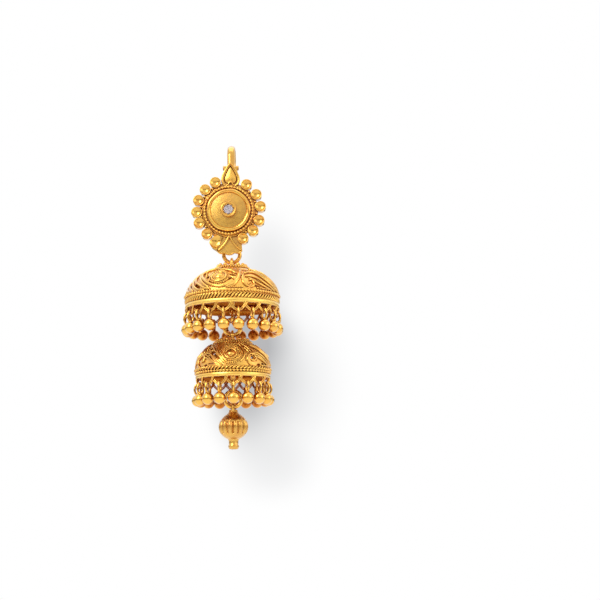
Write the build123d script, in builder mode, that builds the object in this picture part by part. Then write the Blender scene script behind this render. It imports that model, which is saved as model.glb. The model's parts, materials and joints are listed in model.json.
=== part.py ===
from build123d import *
import os
from dataclasses import dataclass
from math import acos, asin, atan, cos, degrees, hypot, radians, sin

os.makedirs("parts", exist_ok=True)

# A two-tier jhumka earring, in millimetres, +Z up, its front facing -Y.
# The origin is the inside top of the ear wire, where the earring hangs in the lobe.

# Where the groups lie
ROSETTE_X = -0.35                     # the round rosette sits a little left of the chain
ROSETTE_Z = -11.8
BACK_Y = -3.8                         # back face of the rosette's plate
HANG_Y = BACK_Y + 1.0                 # plane of the links, and axis of both bells
TOP_LINK_Z = ROSETTE_Z - 7.3
UPPER_RIM_Z = ROSETTE_Z - 16.7
MID_LINK_Z = ROSETTE_Z - 19.8
LOWER_RIM_Z = ROSETTE_Z - 28.6
BOTTOM_LINK_Z = ROSETTE_Z - 31.95

# Links, and the eyes that carry them
LINK_R = 1.36                         # middle of the wire
LINK_WIRE_R = 0.34
EYE_R = 0.80
EYE_WIRE_R = 0.25
PLAY = 0.05                           # clearance between a link and the eye it hangs in
EYE_RISE = LINK_R + EYE_R - EYE_WIRE_R - LINK_WIRE_R - PLAY   # link's centre to eye's centre

# Rosette: depths are forward of the plate's back face
PLATE_T = 0.6
PLATE_R = 4.95
DRUM_R = 4.36
DRUM_T = 0.95
COLLAR_R = 3.38
COLLAR_WIRE_R = 0.33
COLLAR_T = 1.35
DISC_T = 1.62
BEAD_RING_R = 4.08
BEAD_WIRE_R = 0.22
CUP_RING_R = 5.45
CUP_R = 0.93
CUP_T = 1.15
CUP_BALL_R = 1.05                     # the ball that hollows each cup
CUP_DEPTH = 0.36
CUP_ANGLES = [-137, -112.5, -92, -69.7, -46.8, -24.2, 34.5, 60, 83.6, 109.3, 131, 154]

# Stone and its setting
STONE_R = 0.82
GIRDLE_T = 1.98                       # depth of the stone's girdle
GIRDLE_HALF = 0.03
CROWN_ANGLE = 34
PAVILION_ANGLE = 41
TABLE_RISE = 0.26
SETTING_R = 1.30
SETTING_T = 2.15
SETTING_FLOOR = 1.10

# Petal above the rosette and fan below it; heights are from the rosette's centre
PETAL_TIP = 8.45
PETAL_WIDEST = 5.4
PETAL_HALF = 1.46
PETAL_FOOT = 4.2
FAN_X = -0.3
FAN_FOOT = -7.3
FAN_HALF = 2.15
WING_HALF = 3.4
WING_T = 1.05
WING_BALL_R = 1.60                    # the ball that hollows the wing
WING_DEPTH = 0.5
RIM_W = 0.28
RIM_T = 0.92
RIDGE_R = 0.17

# Ear wire and its hinge
HINGE_Z = ROSETTE_Z + 7.95
HINGE_Y = BACK_Y + 0.8
PIN_R = 0.18
PIN_PLAY = 0.04
KNUCKLE_R = 0.40
BARREL_HALF = 0.70
HINGE_HALF = 1.35
HINGE_GAP = 0.06
WIRE_WIDE = 0.62                      # half width of the ear wire at the front
WIRE_THICK = 0.46                     # half thickness there
WIRE_TIP = 0.42                       # radius of the leg behind the lobe
ARCH_R = 2.4
REAR_DROP = 4.4                       # straight stretch below the arch
REAR_BEND_R = 6.0
REAR_TURN = 32
REAR_END = 5.2
CATCH_Z = ROSETTE_Z - 1.6
CATCH_HALF = 1.0

# Fringe drops and the loops that carry them; heights are below a bell's rim
BALL_R = 1.00
BALL_DROP = 3.56
DROP_EYE_DROP = 1.695
DROP_EYE_HALF_H = 0.875
DROP_EYE_HALF_W = 0.50
DROP_WIRE_R = 0.18
LOOP_WIRE_R = 0.19
LOOP_LOW = 1.28                       # the loops' lowest middle of the wire
LEG_WIRE_R = 0.24

# Melon-shaped end drop; heights are from the middle of its body
MELON_Z = ROSETTE_Z - 36.6
MELON_R = 2.45
NECK_R = 0.78
NECK_TOP = 2.78
TIP_R = 0.80
TIP_BOTTOM = -3.70
FLUTES = 14
FLUTE_R = 0.26
FLUTE_ANGLE = 38                      # a flute's reach above and below the middle, in degrees

# Both bells
WALL = 0.45
BAND_T = 0.5
BAND_STEP = 0.14                      # the wall above the plain band stands back by this
STEM_R = 0.42
CROWN_WIRE_R = 0.25
RIB_W = 0.30
RIB_RISE = 0.22
RIM_HALF = 0.17                       # half width of a medallion's rim
RING_SHARE = 0.55                     # its inner ring's radius, as a share of its own


@dataclass
class Bell:
    """One bell's sizes. Heights are above the bottom edge of its plain band."""
    rim_z: float                      # that edge's height in the earring
    rim_r: float
    arc_r: float                      # the wall is part of an ellipse: half width,
    arc_h: float                      # half height,
    arc_z: float                      # and height of its centre
    band_top: float
    rope_top: float
    crown_r: float
    crown_top: float
    grains: int                       # granules on the crown
    grain_r: float
    stem_eye_z: float                 # the eye below, in the earring
    medals: int
    medal_first: float                # azimuth of the front medallion, 0 at the front
    medal_level: float                # ellipse angle of its centre
    medal_r: float
    drops: int
    drop_first: float                 # azimuth of the first drop
    drop_ring_r: float


UPPER = Bell(UPPER_RIM_Z, 7.96, 7.90, 6.0, 1.15, 0.72, 1.75, 2.9, 7.50, 10, 0.42,
             MID_LINK_Z + EYE_RISE, 3, -16, 35, 2.15, 20, 10.5, 7.66)
LOWER = Bell(LOWER_RIM_Z, 6.25, 6.20, 5.1, 1.50, 0.68, 1.60, 3.2, 6.65, 14, 0.34,
             BOTTOM_LINK_Z + EYE_RISE, 4, 0, 25, 1.70, 16, 4, 5.92)

# Pierced gaps and raised ribs, from each medallion. Columns: azimuth from the medallion's and
# ellipse angle, in degrees; length; width; tilt in degrees.
UPPER_GAPS = [
    (88, 19.5, 2.1, 0.72, -29),
    (94, 27.5, 1.5, 0.50, -33),
    (52, 15.2, 1.4, 0.50, -10),
    (35, 36.0, 0.6, 0.36, 60),
    (20, 37.5, 1.3, 0.52, -28),
    (14.5, 28.0, 1.0, 0.50, 35),
    (3.5, 22.0, 1.3, 0.42, 8),
    (-9, 24.5, 1.2, 0.42, -35),
    (-17, 33.0, 1.2, 0.40, -62),
    (-12, 45.0, 1.1, 0.36, 40),
    (56, 50.0, 1.8, 0.45, -40),
    (70, 21.5, 1.5, 0.36, -32),
    (60, 24.5, 1.3, 0.34, -30),
]
LOWER_GAPS = [
    (57.5, 29.0, 1.7, 0.60, -42),
    (52.5, 19.3, 1.5, 0.46, -28),
    (58, 5.8, 1.2, 0.40, -8),
    (46, 41.0, 1.3, 0.50, -40),
    (36.5, 17.5, 0.8, 0.55, 50),
    (46.5, 4.0, 0.8, 0.46, 10),
    (67, 19.5, 1.4, 0.34, -42),
    (16.3, 24.0, 0.36, 1.3, 8),
    (-15, 27.0, 0.32, 1.1, -8),
    (6.5, 9.5, 1.0, 0.30, 14),
    (-7, 10.0, 0.9, 0.30, -16),
]
UPPER_RIBS = [
    (68, 34, 3.0, 0.30, -47),
    (88, 15, 2.6, 0.30, -22),
    (62, 28, 3.0, 0.30, -33),
    (55, 21, 3.2, 0.30, -27),
    (86, 26, 4.2, 0.34, -35),
]
LOWER_RIBS = [
    (66, 30, 3.6, 0.30, -56),
    (58, 21, 3.8, 0.30, -38),
    (59, 11, 3.4, 0.30, -26),
]


def wall_plane(bell, azimuth, level, tilt=0.0):
    """A plane that touches the wall: x along it, turned up by tilt, and z outward."""
    turn, rise = radians(azimuth), radians(level)
    radius = bell.arc_r * cos(rise)
    height = bell.rim_z + bell.arc_z + bell.arc_h * sin(rise)
    out_r, out_z = cos(rise) / bell.arc_r, sin(rise) / bell.arc_h
    normal = Vector(out_r * sin(turn), -out_r * cos(turn), out_z)
    foot = (radius * sin(turn), HANG_Y - radius * cos(turn), height)
    return Plane(origin=foot, x_dir=(cos(turn), sin(turn), 0), z_dir=normal).rotated((0, 0, tilt))


def medallion_planes(bell):
    """The wall's planes at the middles of the medallions."""
    for i in range(bell.medals):
        yield wall_plane(bell, bell.medal_first + 360 * i / bell.medals, bell.medal_level)


def placed(bell, rows):
    """Each row's plane, length and width, once for every medallion."""
    for i in range(bell.medals):
        for azimuth, level, length, width, tilt in rows:
            turn = bell.medal_first + 360 * i / bell.medals + azimuth
            yield wall_plane(bell, turn, level, tilt), length, width


def finish(part, name):
    part.label = name
    export_step(part, f"parts/{name}.step")


# ---------------------------------------------------------------- rosette
face_plane = Plane(origin=(ROSETTE_X, BACK_Y, ROSETTE_Z), x_dir=(1, 0, 0), z_dir=(0, -1, 0))
half_plane = Plane(origin=(ROSETTE_X, BACK_Y, ROSETTE_Z), x_dir=(1, 0, 0), z_dir=(0, 0, -1))
front_axis = Axis((ROSETTE_X, BACK_Y, ROSETTE_Z), (0, -1, 0))
cup_places = [(CUP_RING_R * sin(radians(a)), CUP_RING_R * cos(radians(a))) for a in CUP_ANGLES]
petal_x = -ROSETTE_X
fan_x = FAN_X - ROSETTE_X
arch_z = WIRE_THICK - ARCH_R
leg_turn = radians(REAR_TURN)


def in_rosette(across, up, forward=0.0):
    """A place in the earring, from one on the rosette."""
    return (ROSETTE_X + across, BACK_Y - forward, ROSETTE_Z + up)


with BuildSketch(face_plane) as petal:
    with BuildLine():
        side = ThreePointArc((petal_x, PETAL_TIP), (petal_x + 0.98, 6.9),
                             (petal_x + PETAL_HALF, PETAL_WIDEST))
        foot = ThreePointArc(side @ 1, (petal_x + 1.28, 4.7), (petal_x + 0.75, PETAL_FOOT))
        Line(foot @ 1, (petal_x, PETAL_FOOT))
        mirror(about=Plane(origin=(petal_x, 0, 0), z_dir=(1, 0, 0)))
    make_face()

with BuildSketch(face_plane) as petal_rim:
    add(petal.sketch_local)
    offset(petal.sketch_local, amount=-RIM_W, mode=Mode.SUBTRACT)

with BuildSketch(face_plane) as fan:
    with BuildLine():
        lobe = ThreePointArc((fan_x, FAN_FOOT - 0.28), (fan_x + 0.5, FAN_FOOT - 0.2),
                             (fan_x + 0.85, FAN_FOOT + 0.05))
        corner = ThreePointArc(lobe @ 1, (fan_x + 1.5, FAN_FOOT - 0.05),
                               (fan_x + FAN_HALF, FAN_FOOT + 0.4))
        Polyline(corner @ 1, (fan_x + 2.1, -5.2), (fan_x + 1.5, -4.0), (fan_x, -3.8))
        mirror(about=Plane(origin=(fan_x, 0, 0), z_dir=(1, 0, 0)))
    make_face()

with BuildSketch(face_plane) as wing:
    with BuildLine():
        edge = ThreePointArc((fan_x - FAN_HALF, FAN_FOOT + 0.4), (fan_x - 3.0, -6.25),
                             (fan_x - WING_HALF, -5.5))
        Polyline(edge @ 1, (fan_x - WING_HALF + 0.1, -5.1), (fan_x - 2.3, -4.0),
                 (fan_x - 1.2, -4.6), edge @ 0)
    make_face()

with BuildPart() as rosette:
    # plate, drum, collar seat, raised disc and setting, turned about the front axis
    with BuildSketch(half_plane):
        with BuildLine():
            bore_r = STONE_R + 0.03
            disc = ThreePointArc((COLLAR_R, COLLAR_T), (2.2, DISC_T - 0.06), (SETTING_R, DISC_T))
            Polyline(disc @ 0, (COLLAR_R + 0.2, COLLAR_T - 0.1), (COLLAR_R + 0.32, DRUM_T),
                     (DRUM_R, DRUM_T), (DRUM_R, PLATE_T), (PLATE_R, PLATE_T), (PLATE_R, 0),
                     (0, 0), (0, SETTING_FLOOR), (0.35, SETTING_FLOOR), (bore_r, GIRDLE_T - 0.2),
                     (bore_r, SETTING_T - 0.08), (bore_r + 0.08, SETTING_T),
                     (SETTING_R - 0.12, SETTING_T), (SETTING_R, SETTING_T - 0.15), disc @ 1)
        make_face()
    revolve(axis=front_axis)
    for ring_r, wire_r, depth in [(COLLAR_R, COLLAR_WIRE_R, COLLAR_T),
                                  (BEAD_RING_R, BEAD_WIRE_R, DRUM_T + 0.08)]:
        with Locations(in_rosette(0, 0, depth)):
            Torus(ring_r, wire_r, rotation=(90, 0, 0))
    # petal and fan, with the petal's rim and the fan's two ridges
    extrude(petal.sketch, amount=PLATE_T)
    extrude(petal_rim.sketch, amount=RIM_T)
    extrude(wing.sketch, amount=WING_T)
    with Locations(in_rosette(fan_x - 2.3, -5.3, WING_T - WING_DEPTH + WING_BALL_R)):
        Sphere(WING_BALL_R, mode=Mode.SUBTRACT)
    extrude(fan.sketch, amount=PLATE_T)
    for hand in (-1, 1):
        with BuildLine(face_plane.offset(PLATE_T - 0.05)) as ridge:
            ThreePointArc((fan_x, -4.4), (fan_x + hand * 0.75, -5.69), (fan_x + hand * 1.85, -6.8))
        with BuildSketch(Plane(origin=ridge.line @ 0, z_dir=ridge.line % 0)):
            Circle(RIDGE_R)
        sweep(path=ridge.line)
    # cups round the drum, each hollowed by a ball
    with BuildSketch(face_plane):
        with Locations(*cup_places):
            Circle(CUP_R)
    extrude(amount=CUP_T)
    with Locations(*[in_rosette(x, z, CUP_T - CUP_DEPTH + CUP_BALL_R) for x, z in cup_places]):
        Sphere(CUP_BALL_R, mode=Mode.SUBTRACT)
    # hinge knuckles behind the petal, on lugs, with the pin across them
    knuckle_w = HINGE_HALF - BARREL_HALF - HINGE_GAP
    for hand in (-1, 1):
        middle = hand * (HINGE_HALF - knuckle_w / 2)
        with Locations((middle, HINGE_Y, HINGE_Z)):
            Cylinder(KNUCKLE_R, knuckle_w, rotation=(0, 90, 0))
        lug_t = HINGE_Y - BACK_Y + 0.05
        with Locations((middle - hand * 0.1, HINGE_Y - lug_t / 2, HINGE_Z - 0.5)):
            Box(knuckle_w - 0.2, lug_t, 1.0)
    with Locations((0, HINGE_Y, HINGE_Z)):
        Cylinder(PIN_R, 2 * HINGE_HALF - 0.1, rotation=(0, 90, 0))
    # eye behind the fan for the top link
    with Locations((0, HANG_Y, TOP_LINK_Z + EYE_RISE)):
        Torus(EYE_R, EYE_WIRE_R, rotation=(0, 90, 0))
    # catch: a post with a fork that the ear wire's leg rests in
    bend_z = arch_z - REAR_DROP - REAR_BEND_R * sin(leg_turn)
    along = (bend_z - CATCH_Z) / cos(leg_turn)
    leg_y = ARCH_R - REAR_BEND_R * (1 - cos(leg_turn)) - along * sin(leg_turn)
    fork_plane = Plane(origin=(0, leg_y, CATCH_Z), x_dir=(1, 0, 0),
                       z_dir=(0, cos(leg_turn), -sin(leg_turn)))
    post_l = (leg_y - BACK_Y) / cos(leg_turn)
    slot_r = WIRE_TIP + 0.12
    with Locations(fork_plane.offset(-post_l / 2 - 0.2)):
        Cylinder(0.45, post_l - 0.4)
    with Locations(fork_plane.offset(-0.15)):
        Box(2 * CATCH_HALF, 0.8, 1.3)
    with Locations(fork_plane):
        Cylinder(slot_r, 2, rotation=(90, 0, 0), mode=Mode.SUBTRACT)
    with Locations(fork_plane.offset(0.5)):
        Box(2 * slot_r, 2, 1, mode=Mode.SUBTRACT)

finish(rosette.part, "rosette")

# ---------------------------------------------------------------- stone: a round brilliant
with BuildPart() as brilliant:
    Cylinder(STONE_R, 4 * GIRDLE_HALF + 2 * STONE_R)

    def facets(count, first, angle, radius, height):
        """Cuts a round of facets, each at an angle from level, through a radius and a height."""
        side = 1 if height > 0 else -1
        tilt = radians(angle)
        for i in range(count):
            turn = radians(first + 360 * i / count)
            spot = (radius * cos(turn), radius * sin(turn), height)
            away = (sin(tilt) * cos(turn), sin(tilt) * sin(turn), side * cos(tilt))
            split(bisect_by=Plane(origin=spot, z_dir=away), keep=Keep.BOTTOM)

    split(bisect_by=Plane.XY.offset(TABLE_RISE), keep=Keep.BOTTOM)
    facets(16, 11.25, CROWN_ANGLE + 6, STONE_R, GIRDLE_HALF)
    facets(8, 0, CROWN_ANGLE, STONE_R * 0.99, GIRDLE_HALF)
    facets(8, 22.5, CROWN_ANGLE - 13, STONE_R * 0.60, TABLE_RISE)
    facets(16, 11.25, PAVILION_ANGLE + 2, STONE_R, -GIRDLE_HALF)
    facets(8, 0, PAVILION_ANGLE, STONE_R, -GIRDLE_HALF)

with BuildPart() as stone:
    with Locations(face_plane.offset(GIRDLE_T)):
        add(brilliant.part)

finish(stone.part, "stone")

# ---------------------------------------------------------------- ear wire, hinged behind the petal
side_plane = Plane(origin=(0, 0, 0), x_dir=(0, 1, 0), z_dir=(1, 0, 0))
# the front leg leans back so that it runs into the arch without a kink
lean = acos(ARCH_R / hypot(HINGE_Y, arch_z - HINGE_Z)) - atan((HINGE_Z - arch_z) / HINGE_Y)

with BuildPart() as ear_hook:
    with BuildLine(side_plane) as wire:
        crest_in = (-ARCH_R * cos(lean), arch_z + ARCH_R * sin(lean))
        front = Line((HINGE_Y, HINGE_Z), crest_in)
        arch = ThreePointArc(front @ 1, (0, arch_z + ARCH_R), (ARCH_R, arch_z))
        down = Line(arch @ 1, (ARCH_R, arch_z - REAR_DROP))
        bend = JernArc(down @ 1, (0, -1), REAR_BEND_R, -REAR_TURN)
        leg = Line(bend @ 1, (ARCH_R - REAR_BEND_R * (1 - cos(leg_turn)) - REAR_END * sin(leg_turn),
                              bend_z - REAR_END * cos(leg_turn)))
    for share, wide, thick in [(0, WIRE_WIDE, WIRE_THICK), (0.35, WIRE_WIDE, WIRE_THICK),
                               (0.6, WIRE_TIP + 0.04, WIRE_TIP + 0.02), (1, WIRE_TIP, WIRE_TIP)]:
        with BuildSketch(Plane(origin=wire.line @ share, x_dir=(1, 0, 0), z_dir=wire.line % share)):
            Ellipse(wide, thick)
    sweep(path=wire.line, multisection=True)
    with Locations(wire.line @ 1):
        Sphere(WIRE_TIP)
    with Locations((0, HINGE_Y, HINGE_Z)):
        Cylinder(KNUCKLE_R, 2 * BARREL_HALF, rotation=(0, 90, 0))
        Cylinder(PIN_R + PIN_PLAY, 4, rotation=(0, 90, 0), mode=Mode.SUBTRACT)

finish(ear_hook.part, "ear_hook")

# ---------------------------------------------------------------- links of the chain
for name, height in [("top_link", TOP_LINK_Z), ("mid_link", MID_LINK_Z),
                     ("bottom_link", BOTTOM_LINK_Z)]:
    with BuildPart() as link:
        with Locations((0, HANG_Y, height)):
            Torus(LINK_R, LINK_WIRE_R, rotation=(90, 0, 0))
    finish(link.part, name)

# ---------------------------------------------------------------- the two bells
def bell_section(bell, grow):
    """Face between the wall and a copy of it that stands out by grow, for the raised ribs."""
    side = Plane(origin=(0, HANG_Y, bell.rim_z + bell.arc_z), x_dir=(1, 0, 0), z_dir=(0, -1, 0))
    with BuildSketch(side) as section:
        Ellipse(bell.arc_r + grow, bell.arc_h + grow)
        Ellipse(bell.arc_r - WALL / 2, bell.arc_h - WALL / 2, mode=Mode.SUBTRACT)
        with Locations((bell.arc_r, bell.arc_h)):
            Rectangle(2 * bell.arc_r, 2 * bell.arc_h, mode=Mode.INTERSECT)
    return section.sketch


def bell_relief(bell, rows):
    """Raised ribs and medallion rings: prisms that cross the wall, kept only on its skin."""
    with BuildPart() as prisms:
        for plane, length, width in placed(bell, rows):
            with Locations(plane):
                Box(length, width, 2)
        for seat in medallion_planes(bell):
            for middle, half in [(bell.medal_r - RIM_HALF, RIM_HALF), (RING_SHARE * bell.medal_r, 0.13)]:
                with BuildSketch(seat):
                    Circle(middle + half)
                    Circle(middle - half, mode=Mode.SUBTRACT)
                extrude(amount=1, both=True)
    with BuildPart() as relief:
        revolve(bell_section(bell, RIB_RISE), axis=Axis((0, HANG_Y, 0), (0, 0, 1)))
        add(prisms.part, mode=Mode.INTERSECT)
    return relief.part


def build_bell(bell, link_z, gaps, ribs):
    """A pierced bell: wall, bands, crown with an eye, inner stem with an eye, and fringe loops."""
    start = degrees(asin((bell.rope_top - bell.arc_z) / bell.arc_h))
    end = degrees(acos(bell.crown_r / bell.arc_r))
    inner_r, inner_h = bell.arc_r - WALL, bell.arc_h - WALL
    inner_start = degrees(asin((bell.rope_top - bell.arc_z) / inner_h))
    inner_end = degrees(acos((bell.crown_r - WALL) / inner_r))
    base_z = bell.arc_z + bell.arc_h * sin(radians(end))
    ceiling = bell.arc_z + inner_h * sin(radians(inner_end))
    side = Plane(origin=(0, HANG_Y, bell.rim_z), x_dir=(1, 0, 0), z_dir=(0, -1, 0))
    step_r = bell.rim_r - BAND_STEP
    rope_mid = (bell.band_top + bell.rope_top) / 2
    relief = bell_relief(bell, ribs)
    with BuildPart() as shell:
        with BuildSketch(side):
            with BuildLine():
                outer = EllipticalCenterArc((0, bell.arc_z), bell.arc_r, bell.arc_h, start,
                                            arc_size=end - start)
                inner = EllipticalCenterArc((0, bell.arc_z), inner_r, inner_h, inner_start,
                                            arc_size=inner_end - inner_start)
                Polyline(outer @ 1, (bell.crown_r - 0.3, base_z + 0.1),
                         (bell.crown_r - 0.3, bell.crown_top - 0.2),
                         (bell.crown_r - 0.5, bell.crown_top), (0, bell.crown_top),
                         (0, ceiling), inner @ 1)
                Polyline(inner @ 0, (bell.rim_r - BAND_T, 0), (bell.rim_r, 0),
                         (bell.rim_r, bell.band_top), (step_r, bell.band_top))
                rope = ThreePointArc((step_r, bell.band_top), (bell.rim_r + 0.04, rope_mid),
                                     (step_r, bell.rope_top))
                Line(rope @ 1, outer @ 0)
            make_face()
        revolve(axis=Axis((0, HANG_Y, 0), (0, 0, 1)))
        # ribs and medallions, each with a boss in the middle
        add(relief)
        for seat in medallion_planes(bell):
            with Locations(seat.offset(-WALL / 2)):
                Sphere(0.38 * bell.medal_r, arc_size1=0, align=None)
        # leaf-shaped gaps between the ribs
        for plane, length, width in placed(bell, gaps):
            with BuildSketch(plane):
                Ellipse(length / 2, width / 2)
            extrude(amount=1, both=True, mode=Mode.SUBTRACT)
        # crown: two wires, a ring of granules and the eye for the link above
        with Locations((0, HANG_Y, bell.rim_z + base_z + 0.1)):
            Torus(bell.crown_r - 0.1, CROWN_WIRE_R)
        with Locations((0, HANG_Y, bell.rim_z + bell.crown_top - 0.25)):
            Torus(bell.crown_r - 0.35, CROWN_WIRE_R - 0.05)
        with Locations((0, HANG_Y, bell.rim_z + bell.crown_top + 0.08)):
            with PolarLocations(bell.crown_r - 0.5 - bell.grain_r, bell.grains):
                Sphere(bell.grain_r)
        with Locations((0, HANG_Y, link_z - EYE_RISE), (0, HANG_Y, bell.stem_eye_z)):
            Torus(EYE_R, EYE_WIRE_R, rotation=(0, 90, 0))
        # stem from the crown down to the eye for the link below
        stem_top = bell.rim_z + ceiling + 0.2
        stem_foot = bell.stem_eye_z + EYE_R
        with Locations((0, HANG_Y, (stem_top + stem_foot) / 2)):
            Cylinder(STEM_R, stem_top - stem_foot)
        # fringe loops, half round, with a leg into the rim between neighbours
        half_step = 180 / bell.drops
        loop_r = bell.drop_ring_r * sin(radians(half_step)) / cos(radians(half_step))
        loop_drop = LOOP_LOW - loop_r
        for i in range(bell.drops):
            with Locations(rim_plane(bell, bell.drop_first + 2 * half_step * i, loop_drop)):
                Torus(loop_r, LOOP_WIRE_R, major_angle=180, rotation=(0, 0, 180), align=None)
            leg_r = bell.drop_ring_r * (1 / cos(radians(half_step)) - 1)
            leg = rim_plane(bell, bell.drop_first + half_step * (2 * i + 1), loop_drop)
            with Locations(leg.offset(leg_r)):
                Cylinder(LEG_WIRE_R, 2 * loop_drop + 0.1, rotation=(90, 0, 0))
    return shell.part


def rim_plane(bell, azimuth, drop):
    """Upright plane on the ring of the fringe, x along the ring, y up and z outward."""
    turn = radians(azimuth)
    origin = (bell.drop_ring_r * sin(turn), HANG_Y - bell.drop_ring_r * cos(turn), bell.rim_z - drop)
    return Plane(origin=origin, x_dir=(cos(turn), sin(turn), 0), z_dir=(sin(turn), -cos(turn), 0))


upper_dome = build_bell(UPPER, TOP_LINK_Z, UPPER_GAPS, UPPER_RIBS)
finish(upper_dome, "upper_dome")
lower_dome = build_bell(LOWER, MID_LINK_Z, LOWER_GAPS, LOWER_RIBS)
finish(lower_dome, "lower_dome")

# ---------------------------------------------------------------- fringe drops: a ball under an oval eye
with BuildPart() as one_drop:
    with BuildLine(Plane(origin=(0, -DROP_EYE_DROP, 0), x_dir=(0, 1, 0), z_dir=(1, 0, 0))) as oval:
        EllipticalCenterArc((0, 0), DROP_EYE_HALF_H, DROP_EYE_HALF_W, 0, arc_size=360)
    with BuildSketch(Plane(origin=oval.line @ 0, z_dir=oval.line % 0)):
        Circle(DROP_WIRE_R)
    sweep(path=oval.line)
    with Locations((0, -BALL_DROP, 0)):
        Sphere(BALL_R)
    with Locations((0, -BALL_DROP + BALL_R, 0)):
        Cylinder(DROP_WIRE_R + 0.1, 0.3, rotation=(90, 0, 0))

for bell, tier in [(UPPER, "upper"), (LOWER, "lower")]:
    for i in range(bell.drops):
        with BuildPart() as drop:
            with Locations(rim_plane(bell, bell.drop_first + 360 * i / bell.drops, 0)):
                add(one_drop.part)
        finish(drop.part, f"{tier}_drop_{i + 1:02d}")

# ---------------------------------------------------------------- melon-shaped end drop
melon_axis = Axis((0, HANG_Y, 0), (0, 0, 1))
with BuildPart() as melon_drop:
    with BuildSketch(Plane(origin=(0, HANG_Y, MELON_Z), x_dir=(1, 0, 0), z_dir=(0, -1, 0))):
        with BuildLine():
            neck = ThreePointArc((NECK_R, NECK_TOP), (NECK_R + 0.14, 2.45), (1.3, 2.1))
            body = ThreePointArc(neck @ 1, (MELON_R, 0), (1.3, -1.8))
            foot = ThreePointArc(body @ 1, (TIP_R + 0.12, -2.02), (TIP_R, -2.35))
            Polyline(foot @ 1, (TIP_R - 0.02, -3.05), (TIP_R + 0.06, -3.12), (TIP_R + 0.04, -3.5),
                     (TIP_R - 0.2, TIP_BOTTOM), (0, TIP_BOTTOM), (0, NECK_TOP), neck @ 0)
        make_face()
    revolve(axis=melon_axis)
    flute_r = 2.2
    flute_seat = MELON_R - flute_r + 0.07
    for i in range(FLUTES):
        turn = radians(360 * (i + 0.5) / FLUTES)
        seat = Plane(origin=(flute_seat * sin(turn), HANG_Y - flute_seat * cos(turn), MELON_Z + 0.2),
                     x_dir=(sin(turn), -cos(turn), 0), z_dir=(-cos(turn), -sin(turn), 0))
        with Locations(seat):
            Torus(flute_r, FLUTE_R, major_angle=2 * FLUTE_ANGLE, rotation=(0, 0, -FLUTE_ANGLE),
                  align=None, mode=Mode.SUBTRACT)
    with Locations((0, HANG_Y, BOTTOM_LINK_Z - EYE_RISE)):
        Torus(EYE_R, EYE_WIRE_R, rotation=(0, 90, 0))

finish(melon_drop.part, "melon_drop")
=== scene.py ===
"""Jhumka earring: the looks of one two-tier drop earring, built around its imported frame."""
import json
import math
from dataclasses import dataclass

import bmesh
import bpy
import numpy as np
from bpy.props import FloatProperty, FloatVectorProperty, PointerProperty
from bpy.types import Operator, Panel, PropertyGroup
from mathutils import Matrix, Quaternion, Vector


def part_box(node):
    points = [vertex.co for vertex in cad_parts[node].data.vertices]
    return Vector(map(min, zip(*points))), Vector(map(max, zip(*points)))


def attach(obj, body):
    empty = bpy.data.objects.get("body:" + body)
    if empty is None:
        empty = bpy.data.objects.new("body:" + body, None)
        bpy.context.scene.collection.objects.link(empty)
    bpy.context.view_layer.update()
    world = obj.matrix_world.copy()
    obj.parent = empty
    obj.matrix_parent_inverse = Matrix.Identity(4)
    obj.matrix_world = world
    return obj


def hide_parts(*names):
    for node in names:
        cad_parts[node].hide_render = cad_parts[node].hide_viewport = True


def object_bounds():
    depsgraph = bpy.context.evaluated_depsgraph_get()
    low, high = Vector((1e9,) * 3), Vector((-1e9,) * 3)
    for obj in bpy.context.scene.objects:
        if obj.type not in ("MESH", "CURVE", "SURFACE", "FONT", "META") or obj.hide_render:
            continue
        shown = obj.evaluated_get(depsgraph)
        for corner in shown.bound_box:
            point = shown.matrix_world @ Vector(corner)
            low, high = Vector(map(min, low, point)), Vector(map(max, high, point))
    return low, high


bl_info = {
    "name": "Jhumka Earring",
    "version": (1, 0, 0),
    "blender": (4, 5, 0),
    "location": "View3D > Sidebar > Jhumka",
    "description": "Adds the wires, granules, materials and stage of a jhumka earring",
    "category": "Add Mesh",
}

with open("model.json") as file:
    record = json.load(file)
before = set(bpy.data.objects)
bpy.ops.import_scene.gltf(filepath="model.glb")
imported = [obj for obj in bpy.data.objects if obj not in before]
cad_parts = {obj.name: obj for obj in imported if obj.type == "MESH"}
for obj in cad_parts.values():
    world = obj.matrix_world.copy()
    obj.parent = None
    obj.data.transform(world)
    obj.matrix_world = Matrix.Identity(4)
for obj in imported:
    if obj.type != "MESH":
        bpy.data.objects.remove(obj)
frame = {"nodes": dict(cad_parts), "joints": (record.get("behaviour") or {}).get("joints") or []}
CAD_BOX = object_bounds()

MM = 0.001
MELT = 0.0002                 # points nearer than this, in mm, are one
UP = np.array([0.0, 0.0, 1.0])


# Sizes that the solids share, in millimetres
EYE_R = 0.80
EYE_WIRE_R = 0.25
EYE_RISE = 1.52               # from a link's middle to the eyes above and below it
EYE_ABOVE_PIVOT = 0.16        # from the pivot under a bell to the middle of the eye there
WALL = 0.32
LOOP_LOW = -1.28              # lowest point of the middle of a fringe loop
BALL_R = 1.00
BALL_DROP = 3.56
EYE_DROP = 1.695
DROP_EYE_HALF_H = 0.875
DROP_EYE_HALF_W = 0.50
DROP_WIRE_R = 0.18
GADROONS = 14
COLLAR_R = 3.38
BEAD_RING_R = 4.08
BEADS = 48
CUP_RING_R = 5.45
CUP_T = 1.15
CUP_ANGLES = [-137, -112.5, -92, -69.7, -46.8, -24.2, 34.5, 60, 83.6, 109.3, 131, 154]
PETAL_X = 0.35
STONE_FRONT = 2.24            # how far the stone's table stands forward of the rosette's back
PLATE_T = 0.20                # the rosette is satin this far forward of its back
DISC_R = 3.12                 # and on its disc,
SATIN_FROM = 4.2              # and beyond this radius
SATIN_HALF_W = 1.55           # on the petal and the fan
CUP_R = 0.85
FAN_X = 0.05
LAID_STEP = 0.12              # spacing of the points along a wire laid on the rosette
DRUM_WIRE = (4.43, 0.82, 0.12)      # radius, place forward of the back and wire radius
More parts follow.
